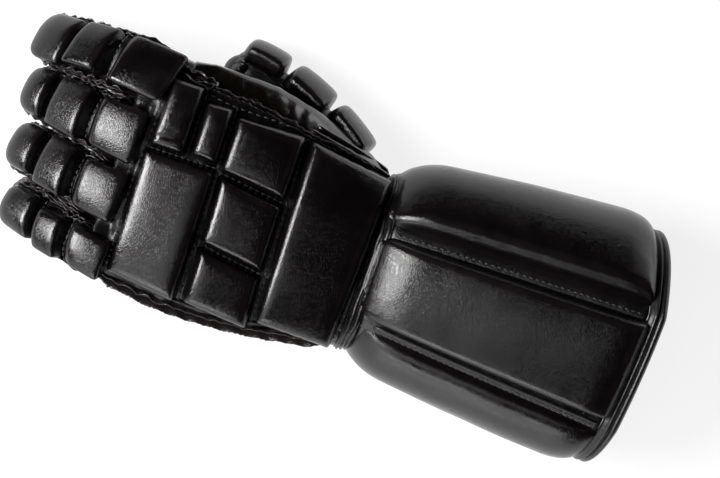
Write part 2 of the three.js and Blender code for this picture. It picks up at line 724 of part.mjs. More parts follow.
function addThumb() {
  const sleeve = thumbBody(0, 0).subtract(thumbHollow).subtract(handGrown);
  addPiece('thumb_sleeve', sleeve, bodyLeather);
  const length = thumbCurve.getLength();
  const gussetGrown = gussetBody(gussetHeight + 2 * seamGap);
  for (const pad of thumbPads) {
    const surface = (u, v) => {
      const section = thumbSection(THREE.MathUtils.lerp(pad.from, pad.to, u));
      const angle = THREE.MathUtils.degToRad(THREE.MathUtils.lerp(pad.low, pad.high, v));
      const outwardSide = section.across.y > 0 ? 1 : -1;
      const { side, rise } = roundedPoint(section.a, section.b, angle, fingerRoundness);
      const out = section.across.clone().multiplyScalar(Math.cos(angle) * outwardSide);
      out.addScaledVector(section.up, Math.sin(angle)).normalize();
      const point = section.place.clone().addScaledVector(section.across, side * outwardSide);
      return { point: point.addScaledVector(section.up, rise), out };
    };
    const padLength = (pad.to - pad.from) * length;
    const body = padBody(surface, padLength, thumbPadWidth, () => fingerPadHeight, smallEdge, smallEdge, 2, 3);
    addPiece(pad.name, body.subtract(thumbGrown).subtract(handGrown).subtract(gussetGrown), padLeather);
  }
}

function addBackPads() {
  for (const pad of backPads) {
    const surface = (u, v) => {
      const fingerSide = new THREE.Vector2(pad.cX, pad.cY).lerp(new THREE.Vector2(pad.aX, pad.aY), v);
      const wristSide = new THREE.Vector2(pad.dX, pad.dY).lerp(new THREE.Vector2(pad.bX, pad.bY), v);
      const { x, y } = fingerSide.lerp(wristSide, u);
      const reach = 2;
      const slopeX = (backHeight(x + reach, y) - backHeight(x - reach, y)) / (2 * reach);
      const slopeY = (backHeight(x, y + reach) - backHeight(x, y - reach)) / (2 * reach);
      const out = new THREE.Vector3(-slopeX, -slopeY * 0.5, 1).normalize();
      return { point: new THREE.Vector3(x, y, backHeight(x, y)), out };
    };
    const width = pad.aY - pad.cY;
    const steps = Math.max(2, Math.round(width / 20));
    const body = padBody(surface, pad.bX - pad.aX, width, () => padHeight, broadEdge, broadEdge, 2, steps);
    addPiece(pad.name, body.subtract(handGrown), padLeather);
  }
}

function addCuff() {
  const hollow = cuffBody(-leatherWall, leatherWall, 4);
  addPiece('cuff_tube', cuffBody(0, 0, 0).subtract(hollow), bodyLeather);
  const grown = cuffBody(seamGap, -seamGap, 4);
  for (const pad of cuffPads) {
    const panel = cuffPanels.find((row) => row.name === pad.panel);
    const padStart = 0.02;
    const padEnd = 0.99;
    const place = (share, v) => {
      const section = panelPoint(panel, share, v);
      const endX = rimX(section.y) - hemWidth - seamGap;
      return new THREE.Vector3(THREE.MathUtils.lerp(cuffStartX, endX, share), section.x, section.y);
    };
    const surface = (u, v) => {
      const share = THREE.MathUtils.lerp(padStart, padEnd, u);
      const across = THREE.MathUtils.lerp(pad.from, pad.to, v);
      const step = 0.01;
      const point = place(share, across);
      const du = place(share + step, across).sub(point);
      const dv = place(share, across + step).sub(point);
      return { point, out: du.cross(dv).normalize() };
    };
    const width = place(0.5, pad.from).distanceTo(place(0.5, (pad.from + pad.to) / 2)) * 2;
    const height = (u) => {
      const share = THREE.MathUtils.clamp(u * cuffLength / (cuffPadFullX - cuffStartX), 0, 1);
      return THREE.MathUtils.lerp(cuffPadWristHeight, padHeight, share);
    };
    const body = padBody(surface, cuffLength, width, height, broadEdge, broadEdge, 4, pad.steps);
    addPiece(pad.name, body.subtract(grown), padLeather);
  }
}

function addHem() {
  const rings = (grow, floor, from, to) => [from, to].map((inset) => {
    return cuffRing(1, grow, floor).map((point) => new THREE.Vector3(rimX(point.y) - inset, point.x, point.y));
  });
  const roll = 4;
  const outer = [
    ...rings(roll * 0.6, 0, hemWidth, hemWidth * 0.8),
    ...rings(roll, 0, hemWidth * 0.6, hemWidth * 0.25),
    ...rings(roll * 0.6, 0, 0.8, 0),
  ];
  addPiece('cuff_hem', sleeveBody(outer, rings(-leatherWall, leatherWall, hemWidth + 3, -3)), bindingTape);
}

function gussetBody(height) {
  const gusset = (u, v) => {
    const x = THREE.MathUtils.lerp(gussetRows[0].x, gussetRows[gussetRows.length - 1].x, u);
    const row = rowAt(gussetRows, 'x', x);
    return handPlace(x, THREE.MathUtils.lerp(row.high, row.low, v));
  };
  const length = gussetRows[gussetRows.length - 1].x - gussetRows[0].x;
  return padBody(gusset, length, 22, () => height, smallEdge, smallEdge, 6, 3);
}

function addSeams() {
  const strip = gussetBody(gussetHeight).subtract(handGrown).subtract(thumbGrown);
  addPiece('thumb_web_gusset', strip, glossLeather);

  const steps = 14;
  for (const [name, rib] of Object.entries(seamRibs)) {
    const places = [];
    for (let k = 0; k <= steps; k += 1) {
      const x = THREE.MathUtils.lerp(rib.fromX, rib.toX, k / steps);
      const angle = rib.angle ?? rowAt(gussetRows, 'x', x).high + rib.above;
      const { point, out } = handPlace(x, angle);
      out.addScaledVector(new THREE.Vector3(0, 0, 1), rib.lean).normalize();
      places.push({ point, out });
    }
    const body = ribBody(places, rib.width, rib.height, rib.wave, rib.waves);
    addPiece(name, body.subtract(handGrown), bodyLeather);
  }
}

// The point where a ray from the wrist's middle meets a closed chain of (y, z) points
function outlineAt(chain, angle) {
  const ray = new THREE.Vector2(Math.cos(angle), Math.sin(angle));
  const middle = new THREE.Vector2(wristMiddle.y, wristMiddle.z);
  let reach = 0;
  chain.forEach((start, k) => {
    const end = chain[(k + 1) % chain.length];
    const edge = end.clone().sub(start);
    const toStart = start.clone().sub(middle);
    const denominator = ray.cross(edge);
    if (Math.abs(denominator) < 1e-9) return;
    const distance = toStart.cross(edge) / denominator;
    const share = toStart.cross(ray) / denominator;
    if (distance > 0 && share >= 0 && share <= 1) reach = Math.max(reach, distance);
  });
  return middle.addScaledVector(ray, reach);
}

function addWristBinding() {
  const handChain = handRing(wristPlaneX, 0, 0).map((point) => new THREE.Vector2(point.y, point.z));
  const cuffChain = cuffRing(0, 0, 0);
  const startX = wristPlaneX + seamGap;
  const endX = cuffStartX - seamGap;
  const ring = (share, grow, floor, shiftX) => {
    const points = [];
    for (let k = 0; k < bindingTurn; k += 1) {
      const angle = k / bindingTurn * 2 * Math.PI;
      points.push(outlineAt(handChain, -angle).lerp(outlineAt(cuffChain, -angle), share));
    }
    return grownRing(points, grow).map((point) => {
      return new THREE.Vector3(THREE.MathUtils.lerp(startX, endX, share) + shiftX, point.x, Math.max(point.y, floor));
    });
  };
  const last = bindingFolds.length - 1;
  const outer = bindingFolds.map((fold, k) => ring(k / last, fold, 0, 0));
  const inner = [
    ring(0, -leatherWall, leatherWall, -2),
    ring(0, -leatherWall, leatherWall, 0),
    ring(1, -leatherWall, leatherWall, 0),
    ring(1, -leatherWall, leatherWall, 2),
  ];
  addPiece('wrist_binding', sleeveBody(outer, inner), bindingTape);
}

addHand();
addFingers();
addThumb();
addBackPads();
addSeams();
addWristBinding();
addCuff();
addHem();

export default glove;
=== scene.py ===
import bpy
import numpy as np
from mathutils import Matrix, Vector


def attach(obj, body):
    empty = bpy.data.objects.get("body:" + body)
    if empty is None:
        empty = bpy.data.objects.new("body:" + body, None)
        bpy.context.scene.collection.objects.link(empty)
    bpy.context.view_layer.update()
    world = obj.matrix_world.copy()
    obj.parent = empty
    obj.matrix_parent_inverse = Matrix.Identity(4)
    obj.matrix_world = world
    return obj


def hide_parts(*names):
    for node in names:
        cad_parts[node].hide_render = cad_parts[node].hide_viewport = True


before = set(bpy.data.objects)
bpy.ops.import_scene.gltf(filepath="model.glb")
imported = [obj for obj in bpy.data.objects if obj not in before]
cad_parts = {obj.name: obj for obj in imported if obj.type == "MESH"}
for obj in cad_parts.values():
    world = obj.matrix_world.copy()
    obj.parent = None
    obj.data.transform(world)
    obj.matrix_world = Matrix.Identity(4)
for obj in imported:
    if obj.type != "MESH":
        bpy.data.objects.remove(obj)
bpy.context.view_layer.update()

# Camera. It looks down on the back of the hand from 1.2 m through a long lens, the glove lying with its
# cuff to the lower right of the picture.
drawing_shift = np.array([2.1, 0.8, 0.0])
picture_turn = np.radians(18.4)
camera_aim = Vector((13.5, -3.0, 50.0)) + Vector(drawing_shift)
camera_distance = 1200.0

towards_camera = Vector((-0.07, 0.0, 1.0)).normalized()
picture_right = Vector((np.cos(picture_turn), np.sin(picture_turn), 0.0))
picture_right = (picture_right - towards_camera * picture_right.dot(towards_camera)).normalized()
picture_up = towards_camera.cross(picture_right)
camera_data = bpy.data.cameras.new("camera")
camera_data.lens = 120
camera_data.sensor_width = 36
camera = bpy.data.objects.new("camera", camera_data)
bpy.context.collection.objects.link(camera)
camera_place = (camera_aim + towards_camera * camera_distance) / 1000
camera.matrix_world = Matrix((
    (picture_right.x, picture_up.x, towards_camera.x, camera_place.x),
    (picture_right.y, picture_up.y, towards_camera.y, camera_place.y),
    (picture_right.z, picture_up.z, towards_camera.z, camera_place.z),
    (0, 0, 0, 1),
))
bpy.context.scene.camera = camera


# Studio. A glowing white table in a dark room. Black leather shows what it reflects: a bright softbox
# beyond the fingertips, a long one and a small low one on the little-finger side, and a low one past
# the thumb.

# name, direction from the glove, distance (m), width and height (m), brightness
softboxes = [
    ("softbox_key", (-0.766, -0.15, 0.63), 1.8, 0.9, 0.95, 21.0),
    ("softbox_side", (-0.42, -0.66, 0.62), 1.8, 0.85, 2.6, 1.9),
    ("softbox_low", (-0.12, -0.97, 0.24), 1.8, 0.9, 0.75, 4.0),
    ("softbox_rim", (0.7, 0.71, 0.17), 1.8, 1.7, 0.55, 2.2),
]
for name, direction, distance, width, height, brightness in softboxes:
    light = bpy.data.lights.new(name, "AREA")
    light.shape = "RECTANGLE"
    light.size, light.size_y, light.energy = width, height, brightness * width * height * np.pi
    lamp = bpy.data.objects.new(name, light)
    lamp.location = Vector(direction).normalized() * distance
    lamp.rotation_euler = (-Vector(direction)).to_track_quat("-Z", "Y").to_euler()
    bpy.context.collection.objects.link(lamp)

world = bpy.data.worlds.new("studio")
world.use_nodes = True
studio_nodes, studio_links = world.node_tree.nodes, world.node_tree.links
direction_z = studio_nodes.new("ShaderNodeSeparateXYZ")
studio_links.new(studio_nodes.new("ShaderNodeTexCoord").outputs["Generated"], direction_z.inputs[0])
wall_glow = studio_nodes.new("ShaderNodeMapRange")
wall_glow.interpolation_type = "SMOOTHSTEP"
for key, value in {"From Min": 0.03, "From Max": 0.11, "To Min": 0.45, "To Max": 0.04}.items():
    wall_glow.inputs[key].default_value = value
studio_links.new(direction_z.outputs["Z"], wall_glow.inputs["Value"])
studio_links.new(wall_glow.outputs[0], studio_nodes["Background"].inputs["Strength"])
bpy.context.scene.world = world
bpy.context.scene.view_settings.view_transform = "Standard"

paper_half, paper_grey, paper_roughness, paper_glow = 4.0, 0.2, 0.9, 0.84
floor_mesh = bpy.data.meshes.new("floor")
floor_corners = np.array([[-1, -1, 0], [1, -1, 0], [1, 1, 0], [-1, 1, 0]]) * paper_half
floor_mesh.from_pydata(floor_corners.tolist(), [], [(0, 1, 2, 3)])
floor = bpy.data.objects.new("floor", floor_mesh)
bpy.context.collection.objects.link(floor)
paper = bpy.data.materials.new("paper")
paper.use_nodes = True
paper_shader = paper.node_tree.nodes["Principled BSDF"]
paper_shader.inputs["Base Color"].default_value = (paper_grey, paper_grey, paper_grey, 1)
paper_shader.inputs["Roughness"].default_value = paper_roughness
paper_shader.inputs["Emission Color"].default_value = (1.0, 1.0, 1.0, 1)
paper_shader.inputs["Emission Strength"].default_value = paper_glow
floor_mesh.materials.append(paper)


# Back leather and palm leather of the hand. One soft black leather, cut in a back and a palm half
# that meet at the side seams, sewn over the hand; the pads' channels are stitched down to the back
# half. The wall is 2.2 mm with its lining.

# x, y and z of the section's middle, half width, half height, degrees of roll
hand_rows = np.array([
    (-113, -1.5, 34.0, 59.0, 16.5, 5.0),
    (-104, -3.0, 34.0, 59.5, 16.8, 5.0),
    (-92, -4.5, 34.0, 59.5, 17.0, 5.0),
    (-75, -6.0, 33.5, 60.5, 17.5, 5.0),
    (-52, -6.5, 31.0, 60.5, 19.0, 4.5),
    (-28, -8.0, 28.0, 57.5, 21.0, 3.5),
    (-4, -10.5, 25.5, 51.5, 22.8, 2.0),
    (20, -13.5, 23.6, 45.0, 24.6, 1.0),
])
hand_start, hand_end = -113.0, 20.0
hand_roundness = 2.8
leather_wall = 2.2


def rows_at(rows, x):
    """Every column of a table at the places x of its first column: a cubic between each two rows,
    whose slopes come from the rows on either side."""
    x = np.asarray(x, dtype=float)
    key = rows[:, 0]
    i = np.clip(np.searchsorted(key, x, side="right") - 1, 0, len(key) - 2)
    before, after = np.maximum(i - 1, 0), np.minimum(i + 2, len(key) - 1)
    span = key[i + 1] - key[i]
    t = ((x - key[i]) / span)[..., None]
    slope_in = (rows[i + 1] - rows[before]) * (span / (key[i + 1] - key[before]))[..., None]
    slope_out = (rows[after] - rows[i]) * (span / (key[after] - key[i]))[..., None]
    return ((2 * t**3 - 3 * t**2 + 1) * rows[i] + (t**3 - 2 * t**2 + t) * slope_in
            + (3 * t**2 - 2 * t**3) * rows[i + 1] + (t**3 - t**2) * slope_out)


def rounded(a, b, degrees, roundness):
    """Sideways and upward place on a rounded section: a times the cosine and b times the sine of the
    angle, each raised to 2 / roundness with its sign kept."""
    c, s = np.cos(np.radians(degrees)), np.sin(np.radians(degrees))
    return (np.sign(c) * np.abs(c) ** (2 / roundness) * a,
            np.sign(s) * np.abs(s) ** (2 / roundness) * b)


def hand_point(x, degrees, grow=0.0):
    """Point of the hand's section at x and an angle, 0 at the thumb side and 90 at the back: the
    rounded section turned by its roll, kept above the floor."""
    row = rows_at(hand_rows, np.clip(x, hand_start, hand_end))
    side, rise = rounded(row[..., 3] + grow, row[..., 4] + grow, degrees, hand_roundness)
    roll = np.radians(row[..., 5])
    y = row[..., 1] + side * np.cos(roll) - rise * np.sin(roll)
    z = row[..., 2] + side * np.sin(roll) + rise * np.cos(roll)
    return np.stack([x + 0 * y, y, np.maximum(z, 0)], axis=-1)


def hand_outward(x, degrees):
    """Direction out of the hand's section: a quarter turn from the run between two near points."""
    run = hand_point(x, degrees + 2) - hand_point(x, degrees - 2)
    out = np.stack([0 * run[..., 0], run[..., 2], -run[..., 1]], axis=-1)
    return out / np.maximum(np.linalg.norm(out, axis=-1, keepdims=True), 1e-9)


def soft_noise(p, q, size, seed):
    """Smooth unevenness from -1 to 1 over a surface with coordinates p and q: a sum of seven sine
    waves of about the given size, their directions and starts drawn from the seed."""
    draw = np.random.default_rng(seed)
    total = 0
    for k in range(7):
        turn = draw.uniform(0, 2 * np.pi)
        length = size * draw.uniform(0.6, 1.7)
        start = draw.uniform(0, 2 * np.pi)
        total = total + np.sin((p * np.cos(turn) + q * np.sin(turn)) * 2 * np.pi / length + start)
    return total / 3.5


def grid_faces(rows, columns, closed=False):
    """Four-sided faces of a grid of points counted row by row, its last column joined to the first
    where the grid is closed."""
    i, j = np.meshgrid(np.arange(rows - 1), np.arange(columns if closed else columns - 1), indexing="ij")
    a = (i * columns + j).ravel()
    b = (i * columns + (j + 1) % columns).ravel()
    return np.stack([a, b, b + columns, a + columns], axis=1)


def put_mesh(name, points, faces, material, wear=None):
    """A new object from points in millimetres of the drawing frame and faces of point numbers;
    unused points are left out. Wear is a share for each point, kept as an attribute."""
    used, faces = np.unique(faces, return_inverse=True)
    faces = faces.reshape(-1, 4)
    places = (points.reshape(-1, 3)[used] + drawing_shift) / 1000
    mesh = bpy.data.meshes.new(name)
    mesh.from_pydata(places.tolist(), [], faces.tolist())
    if wear is not None:
        layer = mesh.attributes.new("wear", "FLOAT", "POINT")
        layer.data.foreach_set("value", np.ascontiguousarray(np.ravel(wear)[used], dtype=np.float32))
    mesh.shade_smooth()
    mesh.materials.append(material)
    piece = bpy.data.objects.new(name, mesh)
    bpy.context.collection.objects.link(piece)
    return piece


def facing_out(points, faces, middle):
    """The faces turned so that most of them look away from the middle line, one place for each row
    of points."""
    corner = points.reshape(-1, 3)[faces]
    away = corner.mean(axis=1) - (middle + 0 * points).reshape(-1, 3)[faces[:, 0]]
    normal = np.cross(corner[:, 2] - corner[:, 0], corner[:, 3] - corner[:, 1])
    return faces if np.sum(normal * away) > 0 else faces[:, ::-1]


def smoothed(piece, levels=1):
    """Rounds a piece off with a subdivision surface."""
    rounding = piece.modifiers.new("rounding", "SUBSURF")
    rounding.levels = rounding.render_levels = levels
    return piece


def walled(piece, thickness):
    """Gives a sheet its thickness, inwards from its outer face."""
    wall = piece.modifiers.new("wall", "SOLIDIFY")
    wall.thickness = thickness / 1000
    wall.offset = -1
    return piece


def leather(name, colour, roughness, grain, depth, gloss, crease):
    """Black coated leather whose pebbles are about grain mm wide. Colour: the base, a little lighter
    and browner in slow patches and where the wear attribute says. Bump: pebbles from the distance to
    cell edges plus fine noise, lower where it is stretched and worn, and slow creases. Roughness: its
    base, moved by the patches and less where it is worn."""
    pebble_relief, crease_relief, pebble_drift = 0.00022, 0.0012, 0.0004
    worn_smooth, worn_shine = 0.75, 0.1
    material = bpy.data.materials.new(name)
    material.use_nodes = True
    nodes, links = material.node_tree.nodes, material.node_tree.links
    shader = nodes["Principled BSDF"]

    def node(kind, **values):
        """A new node, each value given to its input of that name or else to its setting."""
        made = nodes.new(kind)
        for key, value in values.items():
            if key in made.inputs:
                made.inputs[key].default_value = value
            else:
                setattr(made, key, value)
        return made

    place = node("ShaderNodeTexCoord").outputs["Object"]
    patches = node("ShaderNodeTexNoise", Scale=38.0, Detail=3.0, Roughness=0.55)
    pebbles = node("ShaderNodeTexVoronoi", feature="DISTANCE_TO_EDGE", Scale=1000.0 / grain, Randomness=1.0)
    fine = node("ShaderNodeTexNoise", Scale=2600.0 / grain, Detail=4.0, Roughness=0.6)
    bend = node("ShaderNodeTexNoise", Scale=260.0, Detail=2.0)
    folds = node("ShaderNodeTexNoise", Scale=95.0, Detail=5.0, Roughness=0.62, Distortion=1.4)
    for texture in (patches, fine, bend, folds):
        links.new(place, texture.inputs["Vector"])
    warp = node("ShaderNodeVectorMath", operation="MULTIPLY_ADD")
    warp.inputs[1].default_value = (pebble_drift, pebble_drift, pebble_drift)
    links.new(bend.outputs["Color"], warp.inputs[0])
    links.new(place, warp.inputs[2])
    links.new(warp.outputs[0], pebbles.inputs["Vector"])
    wear = node("ShaderNodeAttribute", attribute_name="wear").outputs["Fac"]

    pebble_range = {"From Min": 0.02, "From Max": 0.3}
    pebble_top = node("ShaderNodeMapRange", interpolation_type="SMOOTHSTEP", **pebble_range)
    links.new(pebbles.outputs["Distance"], pebble_top.inputs["Value"])
    surface = node("ShaderNodeMath", operation="MULTIPLY_ADD")
    links.new(fine.outputs["Fac"], surface.inputs[0])
    surface.inputs[1].default_value = 0.5
    links.new(pebble_top.outputs[0], surface.inputs[2])
    relief = node("ShaderNodeMath", operation="MULTIPLY_ADD")
    links.new(wear, relief.inputs[0])
    relief.inputs[1].default_value, relief.inputs[2].default_value = -worn_smooth * depth, depth
    grain_bump = node("ShaderNodeBump", Distance=pebble_relief)
    links.new(relief.outputs[0], grain_bump.inputs["Strength"])
    links.new(surface.outputs[0], grain_bump.inputs["Height"])
    fold_bump = node("ShaderNodeBump", Strength=crease, Distance=crease_relief)
    links.new(folds.outputs["Fac"], fold_bump.inputs["Height"])
    links.new(grain_bump.outputs[0], fold_bump.inputs["Normal"])
    links.new(fold_bump.outputs[0], shader.inputs["Normal"])

    tone = node("ShaderNodeValToRGB")
    tone.color_ramp.elements[0].position, tone.color_ramp.elements[1].position = 0.35, 0.72
    tone.color_ramp.elements[0].color = (*colour, 1)
    tone.color_ramp.elements[1].color = (colour[0] * 1.7, colour[1] * 1.5, colour[2] * 1.55, 1)
    links.new(patches.outputs["Fac"], tone.inputs["Fac"])
    rubbed = node("ShaderNodeMix", data_type="RGBA")
    rubbed.inputs["B"].default_value = (colour[0] + 0.012, colour[1] + 0.01, colour[2] + 0.01, 1)
    wear_share = node("ShaderNodeMath", operation="MULTIPLY")
    links.new(wear, wear_share.inputs[0])
    links.new(patches.outputs["Fac"], wear_share.inputs[1])
    links.new(wear_share.outputs[0], rubbed.inputs["Factor"])
    links.new(tone.outputs["Color"], rubbed.inputs["A"])
    links.new(rubbed.outputs["Result"], shader.inputs["Base Color"])

    shine_range = {"From Min": 0.3, "From Max": 0.7, "To Min": roughness - 0.05, "To Max": roughness + 0.06}
    shine = node("ShaderNodeMapRange", **shine_range)
    links.new(patches.outputs["Fac"], shine.inputs["Value"])
    worn = node("ShaderNodeMath", operation="MULTIPLY_ADD", use_clamp=True)
    links.new(wear, worn.inputs[0])
    worn.inputs[1].default_value = -worn_shine
    links.new(shine.outputs[0], worn.inputs[2])
    links.new(worn.outputs[0], shader.inputs["Roughness"])
    shader.inputs["Specular IOR Level"].default_value = 0.5
    shader.inputs["Coat Weight"].default_value = gloss
    shader.inputs["Coat Roughness"].default_value = 0.12
    return material


body_leather = leather("body_leather", (0.0018, 0.0014, 0.0016),
                       roughness=0.3, grain=1.1, depth=0.3, gloss=0.0, crease=0.3)
hand_columns = 97
hand_x = np.linspace(hand_start, hand_end, 121)[:, None]
# degrees round the hand of the seams between back and palm
back_seam = {"thumb": 2.0, "little": 176.0}
# the finger end is turned in: distance in front of the hand's start, distance out from its section
turned_in = np.array([(1.2, -5.5), (1.8, -2.4), (1.2, -0.7)])
# degrees round the hand of the dips between fingers, their depth and width, where they start and fade
dip_degrees = np.array([66.0, 93.0, 118.0])
dip_depth, dip_width, dip_start, dip_fade = 5.0, 5.5, -103.5, 2.5
dent_depth, dent_size = 0.45, 16


def hand_sheet(name, low, high, node_name, seed):
    """Half of the hand's leather between two angles of the section: dented by slow unevenness that
    fades to nothing at its edges, its finger end turned in as a rounded lip and dipped between the
    fingers by a bell curve of the angle."""
    share = np.linspace(0, 1, hand_columns)[None, :]
    degrees = low + (high - low) * share
    x = np.concatenate([hand_start - turned_in[:, :1], hand_x])
    outward = np.concatenate([turned_in[:, 1:], np.zeros_like(hand_x)])
    edge = np.clip(12 * share * (1 - share), 0, 1)
    dent = dent_depth * soft_noise(x, degrees, dent_size, seed) * edge
    away = (degrees - dip_degrees[:, None, None]) / dip_width
    dips = np.sum(np.exp(-(away**2)), axis=0) * np.clip((dip_start - x) / dip_fade, 0, 1)
    grow = outward + dent * (outward == 0) - dip_depth * dips
    points = hand_point(x + 0 * degrees, degrees + 0 * x, grow)
    row = rows_at(hand_rows, np.clip(x, hand_start, hand_end))
    middle = np.concatenate([x[..., None], row[..., 1:3]], axis=-1)
    piece = put_mesh(name, points, facing_out(points, grid_faces(len(x), hand_columns), middle), body_leather)
    walled(piece, leather_wall)
    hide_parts(node_name)
    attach(piece, "root")


hand_sheet("back_of_hand_leather", back_seam["thumb"], back_seam["little"], "back_leather", 3)
hand_sheet("palm_of_hand_leather", back_seam["little"], back_seam["thumb"] + 360, "palm_leather", 4)


# Fingers. Each is a leather tube sewn from a back and a palm strip with the raw edges out, the tip
# round. The fingers curl, so that the glove rests on their tips.

# name; y at the web and the tip; height at the web; half width and half height at the web and tip;
# x and z of the first joint, the end joint and the tip
finger_rows = [
    ("index", 43.0, 44.5, 37.5, 15.3, 14.6, 12.8, 10.6, -125, 35.0, -143, 23.0, -166, 3.2),
    ("middle", 10.0, 17.5, 35.0, 15.0, 14.8, 12.6, 10.6, -123, 32.6, -141, 21.8, -165, 3.4),
    ("ring", -20.8, -11.5, 32.4, 14.0, 14.5, 12.2, 10.4, -123, 30.2, -141, 20.2, -163, 3.4),
    ("little", -48.8, -38.0, 29.8, 13.0, 13.4, 11.0, 9.8, -120, 27.8, -136, 19.2, -157, 3.4),
]
finger_roundness = 2.5
# share of a finger's length where its tip starts to round, gap between two pieces, and how far inside
# the hand a finger's line starts
tip_start, seam_gap, finger_root = 0.74, 0.3, 20.0


def bent_line(corners):
    """Points along a smooth curve through the corners, and the length up to each: a cubic on each
    span whose pace goes with the square root of the distance between corners."""
    p = np.array(corners, dtype=float)
    p = np.vstack([2 * p[0] - p[1], p, 2 * p[-1] - p[-2]])
    pace = np.sqrt(np.linalg.norm(np.diff(p, axis=0), axis=1))[:, None]
    slope = np.diff(p, axis=0) / pace
    t = np.linspace(0, 1, 60)[None, :, None]
    d0, d1, d2 = pace[:-2, None], pace[1:-1, None], pace[2:, None]
    p1, p2 = p[1:-2, None], p[2:-1, None]
    tan1 = (slope[:-2, None] - (p[2:-1, None] - p[:-3, None]) / (d0 + d1) + slope[1:-1, None]) * d1
    tan2 = (slope[1:-1, None] - (p[3:, None] - p[1:-2, None]) / (d1 + d2) + slope[2:, None]) * d1
    line = ((2 * t**3 - 3 * t**2 + 1) * p1 + (t**3 - 2 * t**2 + t) * tan1
            + (3 * t**2 - 2 * t**3) * p2 + (t**3 - t**2) * tan2)
    line = np.vstack([line[0], *[span[1:] for span in line[1:]]])
    run = np.concatenate([[0], np.cumsum(np.linalg.norm(np.diff(line, axis=0), axis=1))])
    return line, run


def back_height(x, y):
    """Height of the back of the hand over a place: the rounded section solved for its rise."""
    row = rows_at(hand_rows, np.clip(x, hand_start, hand_end))
    roll = np.radians(row[..., 5])
    side = (y - row[..., 1]) / np.cos(roll)
    share = np.minimum(np.abs(side / row[..., 3]), 0.999)
    rise = row[..., 4] * (1 - share**hand_roundness) ** (1 / hand_roundness)
    return row[..., 2] + side * np.sin(roll) + rise * np.cos(roll)


def limb_frame(line, run, s):
    """Place, across and up directions on a bent line at a length along it, level across."""
    s = np.clip(s, run[0], run[-1])

    def at(length):
        return np.stack([np.interp(length, run, line[:, k]) for k in range(3)], axis=-1)

    along = at(s + 0.5) - at(s - 0.5)
    along /= np.linalg.norm(along, axis=-1, keepdims=True)
    across = np.stack([along[..., 1], -along[..., 0], 0 * along[..., 0]], axis=-1)
    across /= np.linalg.norm(across, axis=-1, keepdims=True)
    up = np.cross(across, along)
    up *= np.sign(up[..., 2:3])
    return at(s), across, up


def finger_line(row):
    """Middle line of a finger from inside the hand through its web, two joints and tip, and the
    length up to each point, 0 at the web."""
    _, y, tip_y, z, _, b, _, _, x1, z1, x2, z2, x3, z3 = row

    def sideways(x):
        return y + (tip_y - y) * (hand_start - x) / (hand_start - x3)

    root_x = hand_start + finger_root
    root_z = float(back_height(root_x, sideways(root_x))) - b
    line, run = bent_line([(root_x, sideways(root_x), root_z), (hand_start - seam_gap, y, z),
                           (x1, sideways(x1), z1), (x2, sideways(x2), z2), (x3, tip_y, z3)])
    return line, run - np.interp(seam_gap - hand_start, -line[:, 0], run)


def tip_rounding(share, start):
    """What is left of a limb's half sizes at a share of its length: all up to the start of its round
    tip, then the square root of 1 - late^2.2, late being the share of the tip."""
    late = np.clip((share - start) / (1 - start), 0, 1)
    return np.sqrt(np.maximum(0.0, 1 - late**2.2))


def finger_section(row, share):
    """Place, across, up, half width and half height of a finger at a share of its length from the
    web; the half sizes change evenly from web to tip, where they shrink to nothing."""
    a, b, tip_a, tip_b = row[4:8]
    line, run = finger_line(row)
    place, across, up = limb_frame(line, run, share * run[-1])
    rounding = tip_rounding(share, tip_start)
    out = np.clip(share, 0, 1)
    return place, across, up, (a + (tip_a - a) * out) * rounding, (b + (tip_b - b) * out) * rounding


def limb_point(section, degrees, grow=0.0):
    """Point on a limb's rounded section, kept above the floor."""
    place, across, up, a, b = section
    side, rise = rounded(np.maximum(a + grow, 0.05), np.maximum(b + grow, 0.05), degrees, finger_roundness)
    point = place + across * side[..., None] + up * rise[..., None]
    point[..., 2] = np.maximum(point[..., 2], 0)
    return point


sleeve_sides = 48


def sleeve_shares(first, tip_from, count):
    """Shares of a limb's length for its rings: even up to its tip, then closer and closer by the sine
    of even steps, the last one just short of the pole."""
    steps = np.linspace(0, np.pi / 2, 15)[1:] * 0.995
    return np.concatenate([np.linspace(first, tip_from, count), tip_from + (1 - tip_from) * np.sin(steps)])


def limb_sleeve(name, section, shares, node_name, seed):
    """A closed tube of leather through a limb's sections, wrinkled round its joints, with a pole at
    the tip."""
    degrees = np.linspace(0, 360, sleeve_sides, endpoint=False)[None, :]
    share = shares[:, None]
    crinkle = 0.3 * soft_noise(share * 60, np.sin(np.radians(degrees)) * 14, 6, seed) * (share < 0.93)
    here = section(share + 0 * degrees)
    points = limb_point(here, degrees + 0 * share, crinkle)
    faces = facing_out(points, grid_faces(len(shares), sleeve_sides, closed=True), here[0])
    piece = put_mesh(name, points, faces, body_leather)
    walled(piece, leather_wall)
    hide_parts(node_name)
    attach(piece, "root")


for number, row in enumerate(finger_rows):
    limb_sleeve(f"{row[0]}_finger_leather", lambda share, row=row: finger_section(row, share),
                sleeve_shares(0, tip_start, 56), f"{row[0]}_sleeve", 10 + number)


# Webs between the fingers. The leather of two fingers runs together in a short saddle in front of the
# hand's edge.
web_rings, web_sides = 33, 24
# how far it reaches into each finger, half its height, and how much it sags and narrows in its middle
web_inside, web_half_height, web_sag, web_waist = 6.0, 8.0, 3.5, 1.5
# x of its middle and half its depth, from the thumb side on
finger_webs = [(-119.0, 10.5), (-116.5, 7.5), (-116.5, 7.5)]

